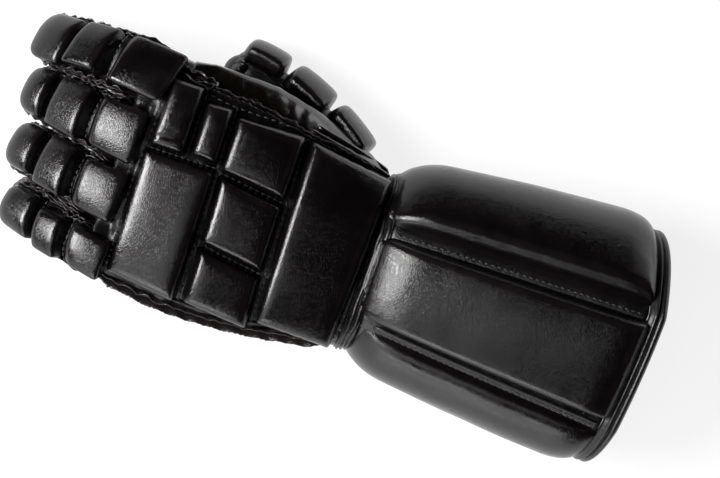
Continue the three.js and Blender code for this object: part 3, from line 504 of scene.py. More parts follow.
for number, (web_x, web_half) in enumerate(finger_webs):
    thumb_ward, little_ward = finger_rows[number], finger_rows[number + 1]
    web_y = np.linspace(thumb_ward[1] - web_inside, little_ward[1] + web_inside, web_rings)[:, None]
    web_turn = np.linspace(0, 2 * np.pi, web_sides + 1)[None, :-1]
    sag = 1 - ((web_y - web_y.mean()) / (web_y[0] - web_y.mean())) ** 2
    web_z = (thumb_ward[3] + little_ward[3]) / 2 - 2.0 - web_sag * sag
    web_crinkle = 1 + 0.05 * soft_noise(web_y * 3, np.sin(web_turn) * 8, 9, 5 + number)
    web_points = np.stack([web_x + (web_half - web_waist * sag) * web_crinkle * np.cos(web_turn),
                           web_y + 0 * web_turn,
                           web_z + web_half_height * web_crinkle * np.sin(web_turn)], axis=-1)
    web_middle = np.stack([web_x + 0 * web_y, web_y, web_z], axis=-1)
    web_faces = facing_out(web_points, grid_faces(web_rings, web_sides, closed=True), web_middle)
    web = put_mesh(f"finger_web_{number + 1}", web_points, web_faces, body_leather)
    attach(web, "root")


# Finger pads. Foam blocks under the leather, three to a finger, with the leather sewn down in the
# channels between them; each has a crowned top, soft shoulders and sides that pull in to the seam.
pad_leather = leather("pad_leather", (0.0018, 0.0014, 0.0016),
                      roughness=0.19, grain=1.05, depth=0.32, gloss=0.0, crease=0.0)
# share of a pad that its foam fills, and how far its underside lies under the surface
pad_fill, pad_under = 0.85, 2.5

# distance in from the pad's outline and share of its height, from the seam to the top
finger_shoulder = np.array([
    (-0.6, -0.1), (-0.1, 0.04), (0.4, 0.26), (0.9, 0.5), (1.4, 0.72),
    (2.0, 0.87), (2.8, 0.955), (3.8, 0.99), (5.0, 1.0),
])


def pad_piece(name, place, length, width, height, shoulder, corner, crown, tilt, flat, step, seed, node_name):
    """A closed pad over a surface, where place(u, v) gives points and outward directions. The grid's
    rings follow the outline, each moved in and up by the shoulder table; its corners, of their first
    radius at low u and their last at high u, are rounded by that radius less the distance in, and its
    lower rings are puckered in and out by short noise. The height, which may be a function of u and
    v, is raised across by the tilt along u and along v. The top is brought nearer, by the share flat,
    to the plane that fits it best, then crowned by (1 - |u|^3)(1 - |v|^3) and made uneven by soft
    noise. Its wear is the bell curve of the ring, highest where the shoulder meets the top. The
    underside lies under the surface."""
    insets, lifts = shoulder[:, 0], shoulder[:, 1]
    rings = len(insets)

    def stations(size):
        count = max(int(round((size - 2 * insets[-1]) / step)), 2)
        middle = np.linspace(insets[-1], size - insets[-1], count + 1)[1:-1]
        return np.concatenate([insets, middle, size - insets[::-1]]) - size / 2

    p, q = np.meshgrid(stations(length), stations(width), indexing="ij")
    i, j = np.meshgrid(np.arange(p.shape[0]), np.arange(p.shape[1]), indexing="ij")
    ring = np.minimum(np.minimum(i, j), np.minimum(p.shape[0] - 1 - i, p.shape[1] - 1 - j))
    k = np.minimum(ring, rings - 1)
    radius = np.maximum(np.where(p < 0, corner[0], corner[1]) - insets[k], 0.6)
    half_p, half_q = length / 2 - insets[k] - radius, width / 2 - insets[k] - radius
    core_p, core_q = np.clip(p, -half_p, half_p), np.clip(q, -half_q, half_q)
    away = np.hypot(p - core_p, q - core_q)
    pull = np.where((away > radius) & (ring < rings), radius / np.maximum(away, 1e-6), 1.0)
    p, q = core_p + (p - core_p) * pull, core_q + (q - core_q) * pull
    pucker = 0.22 * soft_noise(p, q, 5, seed + 50) * np.clip(1 - np.abs(k - 3.5) / 3, 0, 1)
    shrink = 1 - pucker / np.maximum(np.hypot(p, q), 1)
    dome = np.clip(1 - np.abs(2 * p / length) ** 3, 0, 1) * np.clip(1 - np.abs(2 * q / width) ** 3, 0, 1)
    uneven = soft_noise(p, q, 12, seed) * 0.04 + soft_noise(p, q, 36, seed + 100) * 0.12
    rise = height(p / length + 0.5, q / width + 0.5) if callable(height) else height
    rise = rise + tilt[0] * p / length + tilt[1] * q / width
    lift = lifts[k] * rise
    point, out = place(p * shrink / length + 0.5, q * shrink / width + 0.5)
    top = point + out * lift[..., None]
    spread = np.stack([np.ones(p.size), p.ravel(), q.ravel()], axis=1)
    block = k.ravel() == rings - 1
    plane = spread @ np.linalg.lstsq(spread[block], top.reshape(-1, 3)[block], rcond=None)[0]
    top = top + (plane.reshape(top.shape) - top) * (flat * lifts[k] ** 2)[..., None]
    top = top + out * (crown * dome + uneven * np.clip((k - 3) / (rings - 4), 0, 1))[..., None]
    under = point + out * np.where(ring > 0, -pad_under, lifts[0] * rise)[..., None]
    rows, columns = p.shape
    number = np.arange(rows * columns).reshape(rows, columns)
    under_number = np.where(ring > 0, number + rows * columns, number)
    top_faces = grid_faces(rows, columns)
    under_faces = under_number.ravel()[top_faces][:, ::-1]
    normal = np.cross(top[1:, :-1] - top[:-1, :-1], top[:-1, 1:] - top[:-1, :-1])
    if np.sum(normal * out[:-1, :-1]) > 0:
        top_faces, under_faces = top_faces[:, ::-1], under_faces[:, ::-1]
    wear = np.exp(-((k - (rings - 2.5)) / 0.95) ** 2) * (0.7 + 0.3 * soft_noise(p, q, 9, seed + 7))
    points = np.concatenate([top.reshape(-1, 3), under.reshape(-1, 3)])
    points[:, 2] = np.maximum(points[:, 2], 0.0)
    faces = np.concatenate([top_faces, under_faces])
    piece = put_mesh(name, points, faces, pad_leather, wear=np.concatenate([wear.ravel(), 0 * wear.ravel()]))
    smoothed(piece)
    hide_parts(node_name)
    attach(piece, "root")


# finger, pad; shares of the finger's length from the web at the corners root thumb side, tip thumb
# side, root little side, tip little side; degrees round the finger at the same corners, 90 its back;
# how much higher the tip end and the little side stand; how flat its top is
finger_pads = [
    ("index", "pad_knuckle", -0.285, 0.158, -0.135, 0.188, 42, 30, 140, 132, -4.0, 9.0, 0.6),
    ("index", "pad_middle", 0.178, 0.495, 0.21, 0.525, 28, 32, 128, 136, 2.0, 10.3, 0.5),
    ("index", "pad_tip", 0.516, 0.965, 0.546, 0.965, 30, 22, 142, 150, 0.8, 8.0, 0.2),
    ("middle", "pad_knuckle", -0.15, 0.21, -0.19, 0.184, 34, 44, 144, 142, -3.4, -3.0, 0.4),
    ("middle", "pad_middle", 0.232, 0.61, 0.206, 0.585, 38, 33, 148, 150, -1.5, 1.5, 0.3),
    ("middle", "pad_tip", 0.632, 0.965, 0.607, 0.965, 36, 30, 146, 155, 0.0, 0.0, 0.0),
    ("ring", "pad_knuckle", -0.145, 0.22, -0.19, 0.165, 30, 46, 146, 150, -3.4, -3.0, 0.4),
    ("ring", "pad_middle", 0.242, 0.58, 0.188, 0.54, 34, 27, 148, 158, -1.5, 1.5, 0.3),
    ("ring", "pad_tip", 0.602, 0.965, 0.563, 0.965, 30, 26, 146, 155, 0.0, 0.0, 0.0),
    ("little", "pad_knuckle", -0.15, 0.155, -0.23, 0.065, 50, 66, 146, 152, -3.4, -1.5, 0.3),
    ("little", "pad_middle", 0.179, 0.49, 0.09, 0.41, 56, 66, 160, 166, 0.0, 0.0, 0.3),
    ("little", "pad_tip", 0.514, 0.965, 0.436, 0.965, 46, 50, 166, 172, 0.0, 0.0, 0.0),
]
pad_fan = 0.25
finger_pad_height, finger_corner, fingertip_corner = 8.0, 3.8, 9.0
fingers = {row[0]: row for row in finger_rows}


def finger_pad_place(row, a, b, c, d, at_a, at_b, at_c, at_d):
    """Surface of a finger under a pad: the shares and degrees of its corners mixed along u and v;
    outward turns a quarter as far as the degrees from their middle."""
    middle = (at_a + at_b + at_c + at_d) / 4

    def place(u, v):
        section = finger_section(row, (a * (1 - v) + c * v) * (1 - u) + (b * (1 - v) + d * v) * u)
        degrees = (at_a * (1 - v) + at_c * v) * (1 - u) + (at_b * (1 - v) + at_d * v) * u
        lean = np.radians(middle + pad_fan * (degrees - middle))[..., None]
        return limb_point(section, degrees), section[1] * np.cos(lean) + section[2] * np.sin(lean)
    return place


for number, (finger, pad, *corners, tilt_u, tilt_v, flat) in enumerate(finger_pads):
    row = fingers[finger]
    a, b, c, d, at_a, at_b, at_c, at_d = corners
    length = (b - a + d - c) / 2 * finger_line(row)[1][-1]
    width = np.radians((at_c + at_d - at_a - at_b) / 2) * row[4]
    front_corner = fingertip_corner if pad == "pad_tip" else finger_corner
    pad_piece(f"{finger}_finger_{pad}", finger_pad_place(row, *corners), length, width,
              height=finger_pad_height, shoulder=finger_shoulder, corner=(finger_corner, front_corner),
              crown=0.9, tilt=(tilt_u, tilt_v), flat=flat, step=1.5, seed=20 + number,
              node_name=f"{finger}_{pad}")


# Finger seams. The back and palm strips of each finger are joined with their raw edges out: a thin
# ruffled lip runs down each side and round the tip. Black thread shows in the channels.


def resampled(path, step):
    """Points about a step apart along a chain of places, and the direction of the chain there."""
    run = np.concatenate([[0], np.cumsum(np.linalg.norm(np.diff(path, axis=0), axis=1))])
    at = np.linspace(0, run[-1], max(int(round(run[-1] / step)), 3) + 1)
    points = np.stack([np.interp(at, run, path[:, k]) for k in range(path.shape[1])], axis=-1)
    along = np.gradient(points[:, :3], axis=0)
    return points, along / np.maximum(np.linalg.norm(along, axis=1, keepdims=True), 1e-9)


def tube_faces(rings, sides):
    """Faces of a closed tube: its wall and, over each end ring, a row of four-sided faces."""
    k = np.arange(sides // 2 - 1)
    cap = np.stack([k, k + 1, sides - 2 - k, sides - 1 - k], axis=1)
    return np.concatenate([grid_faces(rings, sides, closed=True), cap[:, ::-1], cap + (rings - 1) * sides])


def sweep(name, path, out, wide, high, material):
    """A closed tube along a path: each ring lies wide to the side and high outwards from its point,
    the side being square to the path and to the outward direction."""
    points, along = path
    out = out - along * np.sum(out * along, axis=1, keepdims=True)
    out /= np.maximum(np.linalg.norm(out, axis=1, keepdims=True), 1e-9)
    side = np.cross(out, along)
    rings = points[:, None] + side[:, None] * wide[..., None] + out[:, None] * high[..., None]
    rings[..., 2] = np.maximum(rings[..., 2], 0.05)
    piece = put_mesh(name, rings, tube_faces(len(points), rings.shape[1]), material)
    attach(piece, "root")
    return piece


edge_leather = leather("cut_edge_leather", (0.009, 0.0078, 0.0078),
                       roughness=0.18, grain=0.8, depth=0.3, gloss=0.6, crease=0.2)
lip_step, lip_foot = 0.9, 0.8


def raw_lip(name, path, height, thickness, ruffle, wave, seed, material=edge_leather,
            taper=6.0, tip=0.0, rough=0.12):
    """A thin raw leather edge standing out of a path whose columns are place and outward direction:
    an oval section, its top swaying sideways by soft noise and its height made uneven by fine noise
    times rough; it sinks away over the taper at both ends, and half way along it is higher by the
    tip."""
    both, along = resampled(path, lip_step)
    points, out = both[:, :3], both[:, 3:]
    s = np.arange(len(points)) * lip_step
    fade = np.clip(np.minimum(s, s[-1] - s) / taper, 0.12, 1)
    turn = np.linspace(0, 2 * np.pi, 8, endpoint=False)[None, :] + np.pi / 8
    up = (1 + np.sin(turn)) / 2
    height = height + tip * np.exp(-((s / s[-1] - 0.5) / 0.14) ** 2)
    tall = (height * fade * (1 + rough * soft_noise(s, 0 * s, 1.9, seed)))[:, None]
    sway = (ruffle * fade * soft_noise(s, 0 * s, wave, seed + 1))[:, None]
    wide, high = thickness / 2 * np.cos(turn) + sway * up, -lip_foot + (tall + lip_foot) * up
    return sweep(name, (points, along), out, wide, high, material)


def cord(name, path, radius, material):
    """A round cord along a path whose columns are place and outward direction, thinner at its ends."""
    both, along = resampled(path, 1.2)
    turn = np.linspace(0, 2 * np.pi, 8, endpoint=False)[None, :]
    share = np.linspace(0, 1, len(both))
    full = (radius * np.clip(np.sqrt(np.minimum(share, 1 - share) * 30), 0.15, 1))[:, None]
    sweep(name, (both[:, :3], along), both[:, 3:], full * np.cos(turn), full * np.sin(turn), material)


def thread_material(name, colour):
    """Twisted sewing thread: fine waves along it as bump, a colour varied by noise."""
    material = bpy.data.materials.new(name)
    material.use_nodes = True
    nodes, links = material.node_tree.nodes, material.node_tree.links
    shader = nodes["Principled BSDF"]
    place = nodes.new("ShaderNodeTexCoord").outputs["Object"]
    twist, fuzz = nodes.new("ShaderNodeTexWave"), nodes.new("ShaderNodeTexNoise")
    twist.inputs["Scale"].default_value, fuzz.inputs["Scale"].default_value = 900.0, 1400.0
    bump, tone = nodes.new("ShaderNodeBump"), nodes.new("ShaderNodeValToRGB")
    bump.inputs["Strength"].default_value, bump.inputs["Distance"].default_value = 0.4, 0.0001
    tone.color_ramp.elements[0].color = (*colour, 1)
    tone.color_ramp.elements[1].color = (*(2.2 * np.array(colour)), 1)
    joined = [
        (place, twist.inputs["Vector"]),
        (place, fuzz.inputs["Vector"]),
        (twist.outputs["Fac"], bump.inputs["Height"]),
        (bump.outputs[0], shader.inputs["Normal"]),
        (fuzz.outputs["Fac"], tone.inputs["Fac"]),
        (tone.outputs[0], shader.inputs["Base Color"]),
    ]
    for source, target in joined:
        links.new(source, target)
    shader.inputs["Roughness"].default_value = 0.42
    return material


black_thread = thread_material("black_thread", (0.02, 0.019, 0.019))


def stitches(name, seams, length=2.3, gap=1.0, radius=0.34):
    """Rows of stitches along paths whose columns are place and outward direction. Each stitch is a
    short closed tube, its ring radius smaller towards both ends, arched outwards by a parabola."""
    share = np.array([-0.5, -0.4, 0.0, 0.4, 0.5])[None, :, None, None]
    size = radius * np.array([0.4, 0.9, 1.0, 0.9, 0.4])[None, :, None, None]
    sides, arch = 6, 0.35
    turn = np.linspace(0, 2 * np.pi, sides, endpoint=False)[None, None, :, None]
    each = share.size * sides
    rings, faces, count = [], [], 0
    for path in seams:
        both, _ = resampled(path, length + gap)
        centre = ((both[1:] + both[:-1]) / 2)[:, None, None]
        run = (both[1:, :3] - both[:-1, :3])[:, None, None]
        run = run / np.linalg.norm(run, axis=-1, keepdims=True)
        out = centre[..., 3:] - run * np.sum(centre[..., 3:] * run, axis=-1, keepdims=True)
        out = out / np.linalg.norm(out, axis=-1, keepdims=True)
        side = np.cross(out, run)
        points = (centre[..., :3] + run * share * length + side * size * np.cos(turn)
                  + out * (size * np.sin(turn) + arch * (1 - 4 * share**2)))
        rings.append(points.reshape(-1, 3))
        start = count + np.arange(len(centre))[:, None, None] * each
        faces.append((tube_faces(share.size, sides)[None] + start).reshape(-1, 4))
        count += len(centre) * each
    piece = put_mesh(name, np.concatenate(rings), np.concatenate(faces), black_thread)
    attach(piece, "root")


def seam_round(row, thumb_from, little_from, thumb_at, little_at, turn_at, standing):
    """Path of a finger's side seam with its outward direction: along one side, round the front of the
    tip as half an ellipse, and back along the other side. Standing is how steeply the lip stands up
    at the sides, in degrees."""
    rise = np.radians(standing)

    def one_side(shares, degrees, hand):
        """The seam along one side, which lies to the across direction times hand, 1 or -1."""
        here = finger_section(row, shares)
        out = hand * here[1] * np.cos(rise) + here[2] * np.sin(rise)
        return np.concatenate([limb_point(here, np.full(len(shares), degrees)), out], axis=1)

    one = one_side(np.linspace(thumb_from, turn_at, 40), thumb_at, 1)
    two = one_side(np.linspace(turn_at, little_from, 40), little_at, -1)
    place, across, up, _, _ = finger_section(row, np.array([turn_at]))
    forward = finger_section(row, np.array([1.0]))[0] - place
    forward = forward / np.linalg.norm(forward)
    phi = np.linspace(0, np.pi, 32)[1:-1, None]
    start, end = one[-1:, :3], two[:1, :3]
    middle, half = (start + end) / 2, (start - end) / 2
    reach = (1 - turn_at) * finger_line(row)[1][-1] + 0.2
    round_tip = middle + half * np.cos(phi) + forward * reach * np.sin(phi)
    out = across * np.cos(phi) + forward * np.sin(phi) + up * 0.35
    tip = np.concatenate([round_tip, out / np.linalg.norm(out, axis=1, keepdims=True)], axis=1)
    return np.concatenate([one, tip, two])


# finger; start of the lip on the thumb side and on the little side; degrees of the seam on each side
finger_seams = [
    ("index", -0.1, 0.0, 20, 160),
    ("middle", 0.0, 0.0, 20, 162),
    ("ring", 0.0, 0.0, 20, 162),
    ("little", 0.0, -0.1, 24, 168),
]
# how much further up the finger the inner lip starts, and how many degrees nearer the back it lies
inner_later, inner_higher = 0.04, 9
for number, (finger, thumb_from, little_from, thumb_at, little_at) in enumerate(finger_seams):
    path = seam_round(fingers[finger], thumb_from, little_from, thumb_at, little_at, 0.86, 60)
    raw_lip(f"{finger}_finger_seam", path, height=3.3, thickness=0.8, ruffle=1.0, wave=7.0,
            seed=80 + number, tip=0.3)
    path = seam_round(fingers[finger], thumb_from + inner_later, little_from + inner_later,
                      thumb_at + inner_higher, little_at - inner_higher, 0.88, 72)
    raw_lip(f"{finger}_finger_seam_inner", path, height=3.0, thickness=0.6, ruffle=1.1, wave=5.0,
            seed=90 + number)


# Frills between the fingers. The raw edges of the seams are wider there and stand up in loose ruffles,
# from the web to near the tip.

# finger, degrees round it, share of its length where the frill ends, height
finger_frills = [
    ("index", 148, 0.8, 6.0),
    ("middle", 33, 0.75, 5.5),
    ("middle", 150, 0.85, 6.0),
    ("ring", 32, 0.8, 5.5),
    ("ring", 151, 0.9, 7.0),
    ("little", 47, 0.95, 7.0),
    ("little", 36, 0.9, 8.5),
    ("little", 58, 0.4, 4.0),
]
for number, (finger, at, end, height) in enumerate(finger_frills):
    frill_section = finger_section(fingers[finger], np.linspace(0.0, end, 50))
    frill_foot = limb_point(frill_section, np.full(50, float(at)))
    frill_path = np.concatenate([frill_foot, frill_section[2]], axis=1)
    raw_lip(f"finger_gap_frill_{number + 1}", frill_path, height=height, thickness=0.9, ruffle=1.2, wave=4.8,
            seed=160 + number)


def across_finger(row, thumb_share, little_share, thumb_at, little_at):
    """Path across a finger's back from the thumb side to the little side, with its outward direction."""
    v = np.linspace(0, 1, 30)
    section = finger_section(row, thumb_share + (little_share - thumb_share) * v)
    degrees = thumb_at + (little_at - thumb_at) * v
    lean = np.radians(degrees)[:, None]
    out = section[1] * np.cos(lean) + section[2] * np.sin(lean)
    return np.concatenate([limb_point(section, degrees, 1.5), out], axis=1)


channel_rows = []
for finger, pad, _, b, _, d, _, at_b, _, at_d, *_ in finger_pads:
    if pad != "pad_tip":
        channel_rows.append(across_finger(fingers[finger], b + 0.012, d + 0.012, at_b - 6, at_d + 4))
stitches("finger_channel_stitches", channel_rows)


# Thumb. A leather tube like the fingers, from inside the hand's side to a round tip, with three pads
# round its outer and upper side.

# x, y and z of the middle line, half width, half height
thumb_rows = np.array([
    (-78, 60.5, 10.2, 10.8, 10.4),
    (-58, 56.5, 11.4, 12.2, 11.6),
    (-38, 49.0, 13.2, 13.2, 12.6),
    (-20, 39.0, 15.0, 14.2, 13.6),
    (-6, 28.0, 17.5, 15.0, 14.8),
    (6, 15.0, 20.0, 15.0, 15.5),
])
thumb_tip_start = 0.84
thumb_line, thumb_run = bent_line(thumb_rows[::-1, :3])


def thumb_section(share):
    """Place, across, up and half sizes of the thumb at a share of its length, with a round tip."""
    place, across, up = limb_frame(thumb_line, thumb_run, share * thumb_run[-1])
    row = rows_at(thumb_rows, np.clip(place[..., 0], thumb_rows[0, 0], thumb_rows[-1, 0]))
    rounding = tip_rounding(share, thumb_tip_start)
    return place, across, up, row[..., 3] * rounding, row[..., 4] * rounding


limb_sleeve("thumb_leather", thumb_section, sleeve_shares(0.16, thumb_tip_start, 50), "thumb_sleeve", 15)

# name, start and end shares, lowest and highest angle from the outer side
thumb_pads = [
    ("thumb_pad_root", 0.175, 0.432, -24, 60),
    ("thumb_pad_middle", 0.448, 0.7, -24, 72),
    ("thumb_pad_tip", 0.716, 0.945, -24, 62),
]


def thumb_pad_place(start, end, low, high):
    """Surface of the thumb under a pad: u along it, v up from its outer side, outward along the
    section's radius."""
    def place(u, v):
        section = thumb_section(start + (end - start) * u)
        outer = section[1] * np.sign(section[1][..., 1:2])
        degrees = low + (high - low) * v
        lean = np.radians(degrees)[..., None]
        side, rise = rounded(section[3], section[4], degrees, 2.0)
        point = section[0] + outer * side[..., None] + section[2] * rise[..., None]
        return point, outer * np.cos(lean) + section[2] * np.sin(lean)
    return place


thumb_pad_width = 20.0
for number, (name, start, end, low, high) in enumerate(thumb_pads):
    pad_piece(f"{name}_leather", thumb_pad_place(start, end, low, high), (end - start) * thumb_run[-1],
              thumb_pad_width, height=finger_pad_height, shoulder=finger_shoulder, corner=(3.4, 6.0),
              crown=0.8, tilt=(0.0, 0.0), flat=0.35, step=1.5, seed=40 + number, node_name=name)


# Tip of the thumb. Its leather is gathered, drawn together in pleats in front of the pad, and a raw
# seam runs along the inner edge of the pads.
thumb_inner = thumb_section(np.linspace(0.17, 0.95, 60))
inner_out = thumb_inner[1] * 0.35 + thumb_inner[2] * 0.94
inner_path = np.concatenate([limb_point(thumb_inner, np.full(60, 74.0)), inner_out], axis=1)
raw_lip("thumb_inner_seam", inner_path, height=1.8, thickness=0.8, ruffle=0.6, wave=6.0, seed=101,
        material=body_leather)

gather_rings, gather_sides, gather_wall = 22, 144, 1.0
# share of the thumb's length where the cap starts, how far it stands out in front, number of pleats
gather_from, gather_reach, pleat_count = 0.88, 9.5, 17
gather_out = np.linspace(0, 1, gather_rings)[:, None]
gather_turn = np.linspace(0, 2 * np.pi, gather_sides + 1)[None, :-1]
gather_share = gather_from + 0 * gather_out + 0 * gather_turn
gather_base, gather_across, gather_up, gather_width, gather_height = thumb_section(gather_share)
gather_ahead = thumb_section(np.array([1.0]))[0] - thumb_section(np.array([gather_from]))[0]
gather_ahead = gather_ahead / np.linalg.norm(gather_ahead)
pleats = 0.5 * np.sin(pleat_count * gather_turn + 2.0 * soft_noise(gather_turn * 6, 0 * gather_turn, 9, 104))
pleats = pleats + 0.4 * soft_noise(gather_turn * 16, gather_out * 3, 4, 105)
gather_bulge = 2.2 * np.sin(np.pi * np.clip(gather_out * 1.25, 0, 1))
gather_bulge = gather_bulge + pleats * np.sin(np.pi * gather_out) ** 0.7
gather_close = np.sqrt(np.clip(1 - gather_out**2.6, 0, 1))
gather_degrees = np.degrees(gather_turn) + 0 * gather_out
gather_side, gather_rise = rounded(gather_width, gather_height, gather_degrees, 2.2)
gather_size = gather_close * (1 + gather_bulge / 12)
gather_points = (gather_base + gather_across * (gather_side * gather_size)[..., None]
                 + gather_up * (gather_rise * gather_size)[..., None]
                 + gather_ahead * (gather_reach * gather_out + 0.25 * pleats * gather_close)[..., None])
gather_points[..., 2] = np.maximum(gather_points[..., 2], 0.05)
gather_faces = grid_faces(gather_rings, gather_sides, closed=True)
gather_faces = facing_out(gather_points, gather_faces, gather_base[:, :1])
thumb_gather = walled(put_mesh("thumb_tip_gather", gather_points, gather_faces, body_leather), gather_wall)
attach(thumb_gather, "root")


# Pads of the back of the hand. Foam blocks 9 mm high under the same leather, in two rows and a wide
# one across the wrist, sewn down all round.
hand_shoulder = np.array([
    (-0.6, -0.1), (-0.1, 0.04), (0.4, 0.25), (0.9, 0.48), (1.5, 0.7),
    (2.3, 0.85), (3.4, 0.94), (4.8, 0.984), (6.6, 1.0),
])
hand_pad_height = 9.0

# name; x and y of its corners: finger side thumb end, wrist side thumb end, finger side little end,
# wrist side little end; how much higher the wrist side and the thumb end stand
hand_pads = [
    ("index_knuckle_pad", -101.0, 44.2, -82.1, 43.9, -101.8, 8.1, -82.3, 7.9, 0.3, -1.4),
    ("knuckle_bar", -102.9, 7.0, -65.4, 6.9, -102.4, -57.6, -64.4, -61.8, 4.6, 0.6),
    ("index_hand_pad", -81.1, 37.9, -65.7, 38.8, -80.9, 9.6, -65.9, 8.1, 1.0, -0.8),
    ("thumb_side_pad", -64.7, 36.0, -27.8, 37.0, -64.6, 6.9, -28.2, 2.1, 1.2, 0.4),
    ("middle_hand_pad", -63.6, 5.9, -27.8, 1.1, -62.4, -30.0, -27.4, -34.9, 0.0, 0.0),
    ("little_side_pad", -61.8, -31.0, -27.0, -35.9, -62.0, -60.2, -25.6, -62.8, -2.0, -1.6),
    ("wrist_pad", -26.5, 36.4, 20.9, 28.4, -23.9, -58.6, 16.9, -58.1, -3.8, -1.0),
]


def hand_pad_place(ax, ay, bx, by, cx, cy, dx, dy):
    """Back of the hand under a pad: u from the finger side to the wrist side and v from the little
    end to the thumb end, straight between its corners; outward leans half as much as the slope."""
    def place(u, v):
        finger_x, finger_y = cx + (ax - cx) * v, cy + (ay - cy) * v
        wrist_x, wrist_y = dx + (bx - dx) * v, dy + (by - dy) * v
        x, y = finger_x + (wrist_x - finger_x) * u, finger_y + (wrist_y - finger_y) * u
        slope_x = (back_height(x + 2, y) - back_height(x - 2, y)) / 4
        slope_y = (back_height(x, y + 2) - back_height(x, y - 2)) / 4
        out = np.stack([-slope_x, -slope_y * 0.5, 1 + 0 * slope_x], axis=-1)
        return np.stack([x, y, back_height(x, y)], axis=-1), out / np.linalg.norm(out, axis=-1, keepdims=True)
    return place


def creased_height(u, v):
    """Height of the pad over the index knuckle: 9 mm, less a fold 1.8 mm deep slanting over its little
    end and a lighter second one, each the bell curve of the distance to its line."""
    first = v - 0.13 - 0.12 * u
    second = v - 0.33 + 0.1 * u
    deep, light = 1.8 * np.exp(-((first / 0.03) ** 2)), 0.6 * np.exp(-((second / 0.025) ** 2)) * u
    return hand_pad_height - deep - light


for number, (name, *corners, tilt_u, tilt_v) in enumerate(hand_pads):
    length = (corners[2] - corners[0] + corners[6] - corners[4]) / 2
    width = (corners[1] - corners[5] + corners[3] - corners[7]) / 2
    creased = name == "index_knuckle_pad"
    pad_piece(f"{name}_leather", hand_pad_place(*corners), length, width,
              height=creased_height if creased else hand_pad_height, shoulder=hand_shoulder,
              corner=(2.6, 2.6), crown=1.7, tilt=(tilt_u, tilt_v), flat=0.25,
              step=1.2 if creased else 1.8, seed=50 + number, node_name=name)


# Stitching of the hand's pads. The leather over the pads is sewn down along every channel with black
# thread; the row along the thumb side shows as dashes on the flat leather.


def on_back(corners, lift):
    """Path over the back of the hand through places seen from above, raised by the lift, with the
    direction square to the leather."""
    plan = bent_line([(x, y, 0.0) for x, y in corners])[0]
    x, y = plan[:, 0], plan[:, 1]
    slope_x = (back_height(x + 1, y) - back_height(x - 1, y)) / 2
    slope_y = (back_height(x, y + 1) - back_height(x, y - 1)) / 2
    out = np.stack([-slope_x, -slope_y, 1 + 0 * x], axis=-1)
    out /= np.linalg.norm(out, axis=1, keepdims=True)
    return np.concatenate([np.stack([x, y, back_height(x, y)], axis=-1) + out * lift, out], axis=1)


hand_channels = [
    [(-99.4, 47.0), (-100.7, 37.0), (-101.4, 22.0), (-102.4, 6.0),
     (-103.2, -14.0), (-103.0, -33.0), (-101.9, -57.0)],
    [(-65.1, 40.0), (-65.1, 7.0), (-64.2, -28.0), (-63.1, -61.0)],
    [(-81.6, 44.0), (-81.6, 26.0), (-81.6, 8.5)],
    [(-100.5, 7.5), (-82.0, 7.4), (-65.2, 7.6)],
    [(-64.0, 6.4), (-46.0, 4.0), (-27.8, 1.6)],
    [(-62.2, -30.5), (-45.0, -33.0), (-27.2, -35.4)],
    [(-27.2, 36.6), (-27.0, 1.0), (-25.8, -35.0), (-24.8, -60.0)],
]
thumb_side_row = [(-80.5, 41.5), (-67.4, 39.6), (-48.0, 39.4), (-27.0, 39.4), (-20.0, 40.4)]
stitches("hand_channel_stitches", [on_back(corners, 0.9) for corners in hand_channels])
stitches("thumb_side_stitches", [on_back(thumb_side_row, 0.3)], length=2.6, gap=1.4, radius=0.45)


# Web between hand and thumb. A strip of glossy leather is gathered into the seam along the pads'
# field, hollow next to it and rolled over into a fold at the hand's side; it runs to the wrist.
gusset_leather = leather("gusset_leather", (0.003, 0.002, 0.002),
                         roughness=0.17, grain=1.1, depth=0.15, gloss=0.7, crease=0.12)

# x, degrees of the upper edge and of the lower edge round the hand's section
gusset_rows = np.array([
    (-94.0, 30, -8), (-64, 33, -22), (-25, 36, -22), (4, 24, -16), (18, 15, -10),
])
gusset_from, gusset_to, gusset_rings, gusset_columns = -92, 17, 121, 37
# height of the roll, how far it lies off the hand, and over how many mm it flattens at its ends
gusset_roll, gusset_off, gusset_end = 2.9, 0.3, 10
gusset_wall = 1.6
gusset_x = np.linspace(gusset_from, gusset_to, gusset_rings)[:, None]
gusset_v = np.linspace(0, 1, gusset_columns)[None, :]
gusset_plan = gusset_x + 0 * gusset_v
gusset_edges = rows_at(gusset_rows, gusset_x)
gusset_degrees = gusset_edges[..., 1] + (gusset_edges[..., 2] - gusset_edges[..., 1]) * gusset_v
inner_roll = (gusset_v / 0.5) ** 2.2
outer_roll = np.sqrt(np.clip(1 - ((gusset_v - 0.5) / 0.52) ** 2, 0, 1))
gusset_rolled = np.where(gusset_v < 0.5, inner_roll, outer_roll)
gusset_ends = np.clip(np.minimum(gusset_x - gusset_from, gusset_to - gusset_x) / gusset_end, 0, 1)
gathers = 0.2 * soft_noise(gusset_x, gusset_v * 8, 16, 61)
gathers = gathers + 0.5 * soft_noise(gusset_x, gusset_v * 2, 4.5, 62) * (1 - gusset_v) ** 3
gathers = gathers * np.clip(gusset_v * 5, 0, 1) * np.clip((1 - gusset_v) * 5, 0, 1)
gusset_lift = gusset_off + (gusset_roll * gusset_rolled + gathers) * (0.3 + 0.7 * gusset_ends)
gusset_out = hand_outward(gusset_plan, gusset_degrees)
gusset_points = hand_point(gusset_plan, gusset_degrees) + gusset_out * gusset_lift[..., None]
gusset_middle = np.concatenate([gusset_x[..., None], rows_at(hand_rows, gusset_x)[..., 1:3]], axis=-1)
gusset_faces = facing_out(gusset_points, grid_faces(gusset_rings, gusset_columns), gusset_middle)
web_gusset = walled(put_mesh("thumb_web_leather", gusset_points, gusset_faces, gusset_leather), gusset_wall)
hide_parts("thumb_web_gusset")
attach(web_gusset, "root")


